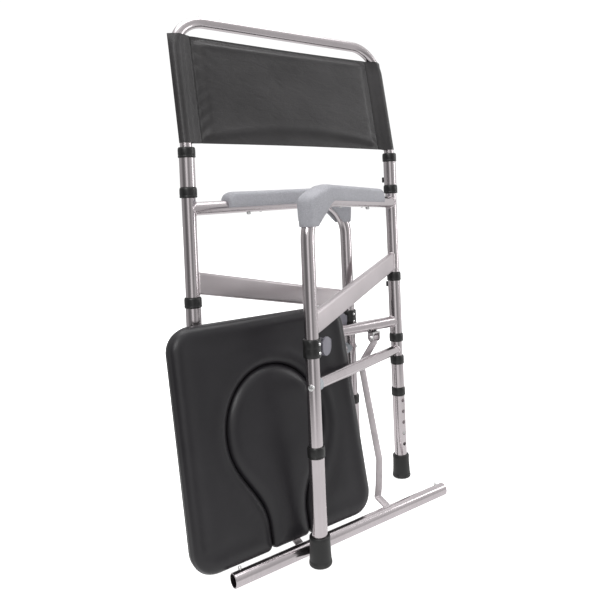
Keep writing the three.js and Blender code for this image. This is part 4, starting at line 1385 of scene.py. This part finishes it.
def seat_board(place):
    """Moulded tray: the board, stiffening ribs underneath, four clips and the screws that hold them."""
    outline = evenly(seat_outline(0.1 * MM), 8 * MM)
    board = Piece().add(prism(outline, 0, BOARD_T, place), "board")
    width, depth = seat_size()
    rib_h, rib_w = 2.4 * MM, 3 * MM
    for x in (-width / 2 + 24 * MM, width / 2 - 24 * MM):
        rib = rounded_box(rib_w, depth - 120 * MM, 1 * MM)
        board.add(prism(rib, -rib_h, 0.5 * MM, place @ Matrix.Translation((x, depth / 2, 0))), "board")
    rib = rounded_box(width - 120 * MM, rib_w, 1 * MM)
    board.add(prism(rib, -rib_h, 0.5 * MM, place @ Matrix.Translation((0, depth - 34 * MM, 0))), "board")
    screws, over = Piece(), Matrix.Rotation(math.pi, 4, "X")
    for x in (-CLIP_FROM_MIDDLE, CLIP_FROM_MIDDLE):
        for y in (CLIP_FRONT, depth - CLIP_REAR):
            clip = rounded_box(CLIP_W, CLIP_D, 3 * MM)
            board.add(prism(clip, -CLIP_BELOW, 0.5 * MM, place @ Matrix.Translation((x, y, 0))), "board")
            seat = place @ Matrix.Translation((x, y, -CLIP_BELOW + 0.2 * MM)) @ over
            screws.add(pan_head(3.4 * MM, 1.6 * MM, seat), "steel")
    board.finish("seat_tray", "seat", ["seat_board"], bevel=0.7 * MM)
    screws.finish("tray_screws", "seat")


# ---- Backrest sling: doubled cloth, sewn into a sleeve round each post ----
def sling_half_depth(x, z, post_x):
    """Half the sleeve's depth: cloth pulled flat over the tube, an outer ear and the stitched line."""
    top = heights("back_tube")[1] - BACK_TUBE_R
    bend_z = top - BACK_CORNER_R
    centre = post_x - BACK_CORNER_R
    line, ear = post_x + SLING_EAR - STITCH_IN, post_x + SLING_EAR

    def tube(at):
        rho = math.hypot(at - centre, max(0.0, z - bend_z)) - BACK_CORNER_R
        return math.sqrt(max(0.0, SLING_TUBE_R ** 2 - rho * rho))

    knots = [(line, SEAM_HALF), (ear, SEAM_HALF)]
    knots += [(line + STITCH_IN * i / 60, tube(line + STITCH_IN * i / 60)) for i in range(1, 60)]
    best = 0.0
    left = [k for k in knots if k[0] <= x + 1e-9]
    right = [k for k in knots if k[0] >= x - 1e-9]
    for ax, ay in left:
        for bx, by in right:
            value = ay if bx - ax < 1e-9 else ay + (by - ay) * (x - ax) / (bx - ax)
            best = max(best, value)
    return best


def seam_puff(away):
    """Cloth stands up on both sides of a sewn seam, which leaves a narrow valley."""
    return 1.1 * MM * (1 - math.exp(-(away / (2.2 * MM)) ** 2))


def sling_surface():
    """Columns across the sling: for each, its place across and its depth, front and back, at a height."""
    half = POST["right"].x - middle("backrest_cloth").x
    line = half + SLING_EAR - STITCH_IN
    inner = [line * math.sin(math.pi / 2 * u) for u in (i / 34 for i in range(35))]
    sleeve = [line + STITCH_IN * (1 - math.cos(math.pi * i / 26)) / 2 for i in range(1, 27)]
    across = inner + sleeve
    return [-x for x in across[:0:-1]] + across, half, line


def sleeve_cloth(x, z, line, half):
    """Half the depth over a sleeve: slack between the stitches and the tube, and small tugs."""
    out = abs(x) - line
    slack = SLEEVE_SLACK * math.sin(math.pi * min(1.0, out / (SLEEVE_FLAT * STITCH_IN)))
    depth = sling_half_depth(abs(x), z, half) - slack + seam_puff(out) * (1 - ease(out, 5 * MM, 20 * MM))
    return depth + 0.5 * MM * noise.noise(Vector((x * 60, 1.5, z * 85))) * (1 - ease(out, 0, 16 * MM))


def panel_cloth(x, z, line, low, high):
    """How far the middle panel stands out to the front and to the back: filled, rolled and creased."""
    inside, u = line - abs(x), abs(x) / line
    bow = 9 * MM + 27 * MM * (1 - u * u)
    fill = ease(inside, 0, 26 * MM)
    rise = ease(z - low, bow * 0.35, bow * 1.25) * ease(high - z, 4 * MM, 17 * MM)
    slope = z + 0.7 * inside * (1 if z > (low + high) / 2 else -1)
    fold = math.sin(slope * 270 + 2.2 * noise.noise(Vector((x * 9, 0, z * 14))))
    fold *= math.exp(-inside / (24 * MM)) * ease(inside, 0, 6 * MM)
    drape = noise.noise(Vector((x * 13, 4.0, z * 22)))
    tuft = (1.3 * fold + 0.7 * drape * fill) * MM
    lower_roll = math.exp(-((z - low - bow) / (7 * MM)) ** 2)
    roll = lower_roll + 0.6 * math.exp(-((high - z - 15 * MM) / (6 * MM)) ** 2)
    puff = SEAM_HALF + seam_puff(inside)
    ahead = puff + fill * (6.6 * rise + 2.4 * roll) * MM + tuft * (0.35 + 0.65 * rise)
    return ahead, puff + fill * 2.2 * rise * MM + 0.6 * tuft * rise


def sling():
    low, high = heights("backrest_cloth")
    mid_x, base_y = middle("backrest_cloth").x, POST["right"].y
    columns, half, line = sling_surface()
    loops = []
    for row in range(SLING_ROWS + 1):
        z = low + (high - low) * (1 - math.cos(math.pi * row / SLING_ROWS)) / 2
        front, back = [], []
        for x in columns:
            if abs(x) > line + 1e-9:
                ahead = behind = sleeve_cloth(x, z, line, half)
            else:
                ahead, behind = panel_cloth(x, z, line, low, high)
            lean = base_y + raked(z)
            hang = 1.4 * MM * math.cos(math.pi * min(abs(x) / line, 1.0) / 2)
            hang *= (1 if z < (low + high) / 2 else -1) * (1 - ease(min(z - low, high - z), 0, 30 * MM))
            front.append(Vector((mid_x + x, lean - ahead, z + hang)))
            back.append(Vector((mid_x + x, lean + behind, z + hang)))
        loops.append(front + back[::-1])
    cloth = Piece().add(skinned(loops, caps=False), "cloth")
    made = cloth.finish("sling", "rear_frame", ["backrest_cloth"], crease=60)
    layer = made.modifiers.new("cloth_gauge", "SOLIDIFY")
    layer.thickness = CLOTH_GAUGE
    layer.offset = -1
    layer.use_even_offset = False
    girth = 4 * (half + SLING_EAR)
    sling_stitches(loops, columns, line)


def sling_stitches(loops, columns, line):
    """Short sunk stitches down each sleeve seam, on the front layer."""
    thread = Piece()
    for target in (-line, line):
        column = min(range(len(columns)), key=lambda k: abs(columns[k] - target))
        seam = [loop[column] for loop in loops]
        z = seam[0].z + 3 * MM
        while z < seam[-1].z - 4 * MM:
            k = max(i for i, p in enumerate(seam[:-1]) if p.z <= z)
            along = (seam[k + 1] - seam[k]).normalized()
            at = seam[k] + along * (z - seam[k].z) - BACK * 0.1 * MM
            knob = [(TIP_R, 0), (THREAD_R * 0.7, 0.25 * MM), (THREAD_R, 0.8 * MM), (THREAD_R, 2.2 * MM),
                    (THREAD_R * 0.7, 2.75 * MM), (TIP_R, 3 * MM)]
            thread.add(turned(knob, pointing(at, along), steps=10, ring=False), "thread")
            z += STITCH_PITCH
    return thread.finish("sling_stitches", "rear_frame", crease=60)


# ---- Stage: floor, soft lights and camera ----
def floor():
    """Pale floor: bright where it is seen, and a sheet of lit paper round the feet for reflections."""
    bpy.ops.mesh.primitive_plane_add(size=60, location=(0, 0, -0.0005))
    ground = bpy.context.object
    ground.name = "floor"
    f = Finish("pale_floor", Roughness=0.6, Specular_IOR_Level=0.1, Emission_Strength=FLOOR_GLOW)
    f.feed(Base_Color=f.mixed(f.noise(0.4, 2), grey(0.90), grey(0.93)))
    f.shader.inputs["Emission Color"].default_value = grey(1.0)
    tree = f.tree
    paper, clear = tree.nodes.new("ShaderNodeEmission"), tree.nodes.new("ShaderNodeBsdfTransparent")
    paper.inputs["Color"].default_value = grey(1.0)
    paper.inputs["Strength"].default_value = FLOOR_BOUNCE
    fade, choose = tree.nodes.new("ShaderNodeMixShader"), tree.nodes.new("ShaderNodeMixShader")
    path = tree.nodes.new("ShaderNodeLightPath")
    away = f.node("ShaderNodeVectorMath", {0: f.place()}, output="Value", operation="LENGTH")
    tree.links.new(f.spread(away, *FLOOR_PAPER).socket, fade.inputs[0])
    tree.links.new(paper.outputs[0], fade.inputs[1])
    tree.links.new(clear.outputs[0], fade.inputs[2])
    tree.links.new(path.outputs["Is Camera Ray"], choose.inputs[0])
    tree.links.new(fade.outputs[0], choose.inputs[1])
    tree.links.new(f.shader.outputs[0], choose.inputs[2])
    tree.links.new(choose.outputs[0], tree.nodes["Material Output"].inputs["Surface"])
    ground.data.materials.append(f.material)


def soft_box(name, location, size, energy):
    light = bpy.data.lights.new(name, "AREA")
    light.shape = "RECTANGLE"
    light.size, light.size_y = size
    light.energy = energy
    lamp = bpy.data.objects.new(name, light)
    lamp.location = location
    lamp.rotation_euler = (Vector((0, 0, 0.5)) - Vector(location)).to_track_quat("-Z", "Y").to_euler()
    bpy.context.scene.collection.objects.link(lamp)


def studio():
    """White room: pure white where it is seen, and with panels and darker gaps where it is reflected."""
    world = bpy.data.worlds.new("studio")
    bpy.context.scene.world = world
    world.use_nodes = True
    tree = world.node_tree
    tree.nodes.clear()
    make = tree.nodes.new
    out, mix, path = make("ShaderNodeOutputWorld"), make("ShaderNodeMixShader"), make("ShaderNodeLightPath")
    seen, room = make("ShaderNodeBackground"), make("ShaderNodeBackground")
    where, split = make("ShaderNodeTexCoord"), make("ShaderNodeSeparateXYZ")
    panels = make("ShaderNodeValToRGB")
    tree.links.new(where.outputs["Generated"], split.inputs[0])
    x, y, z = (Val(tree, split.outputs[axis]) for axis in "XYZ")
    aside = (x * ROOM_AHEAD.y - y * ROOM_AHEAD.x) * 0.5 + 0.5
    behind = ((x * ROOM_AHEAD.x + y * ROOM_AHEAD.y) * 1.6 + 0.5).clamped() * (aside * 0.75 + 0.25)
    above = (z * 1.7 - 0.55).clamped()
    tree.links.new(aside.socket, panels.inputs[0])
    elements = panels.color_ramp.elements
    for i, (place, level) in enumerate(ROOM_PANELS):
        element = elements[i] if i < 2 else elements.new(place)
        element.position = place
        element.color = grey(level)
    split_level = make("ShaderNodeSeparateColor")
    tree.links.new(panels.outputs[0], split_level.inputs[0])
    front = Val(tree, split_level.outputs[0])
    level = front + (1 - front) * behind
    level = level + (1.1 - level) * above
    tree.links.new((level * ROOM_LEVEL).socket, room.inputs["Strength"])
    tree.links.new(path.outputs["Is Camera Ray"], mix.inputs[0])
    tree.links.new(room.outputs[0], mix.inputs[1])
    tree.links.new(seen.outputs[0], mix.inputs[2])
    tree.links.new(mix.outputs[0], out.inputs[0])
    room.inputs["Color"].default_value = grey(1.0)
    seen.inputs["Color"].default_value = grey(1.0)
    seen.inputs["Strength"].default_value = 1.05
    for light in LIGHTS:
        soft_box(*light)
    bpy.context.scene.view_settings.view_transform = "Standard"


def camera():
    forward = CAMERA_AHEAD.normalized()
    right = forward.cross(CAMERA_UP).normalized()
    up = right.cross(forward)
    lens = bpy.data.cameras.new("camera")
    lens.sensor_width = CAMERA_SENSOR
    lens.lens = CAMERA_LENS
    lens.shift_x, lens.shift_y = CAMERA_SHIFT
    lens.dof.use_dof = False
    view = bpy.data.objects.new("camera", lens)
    turn = Matrix((right, up, -forward)).transposed()
    view.matrix_world = Matrix.Translation((POST["left"] + POST["right"]) / 2 + CAMERA_AT) @ turn.to_4x4()
    bpy.context.scene.collection.objects.link(view)
    bpy.context.scene.camera = view


bent_back_tube()
crossbar()
sleeves()
rear_posts()
side_frames()
front_bar()
for label in SIDES:
    strut(label)
    pivot_bracket(label)
    pivot_bolt(label)
seat = seat_place()
seat_board(seat)
seat_cushion(seat)
seat_plug(seat)
sling()
floor()
studio()
camera()
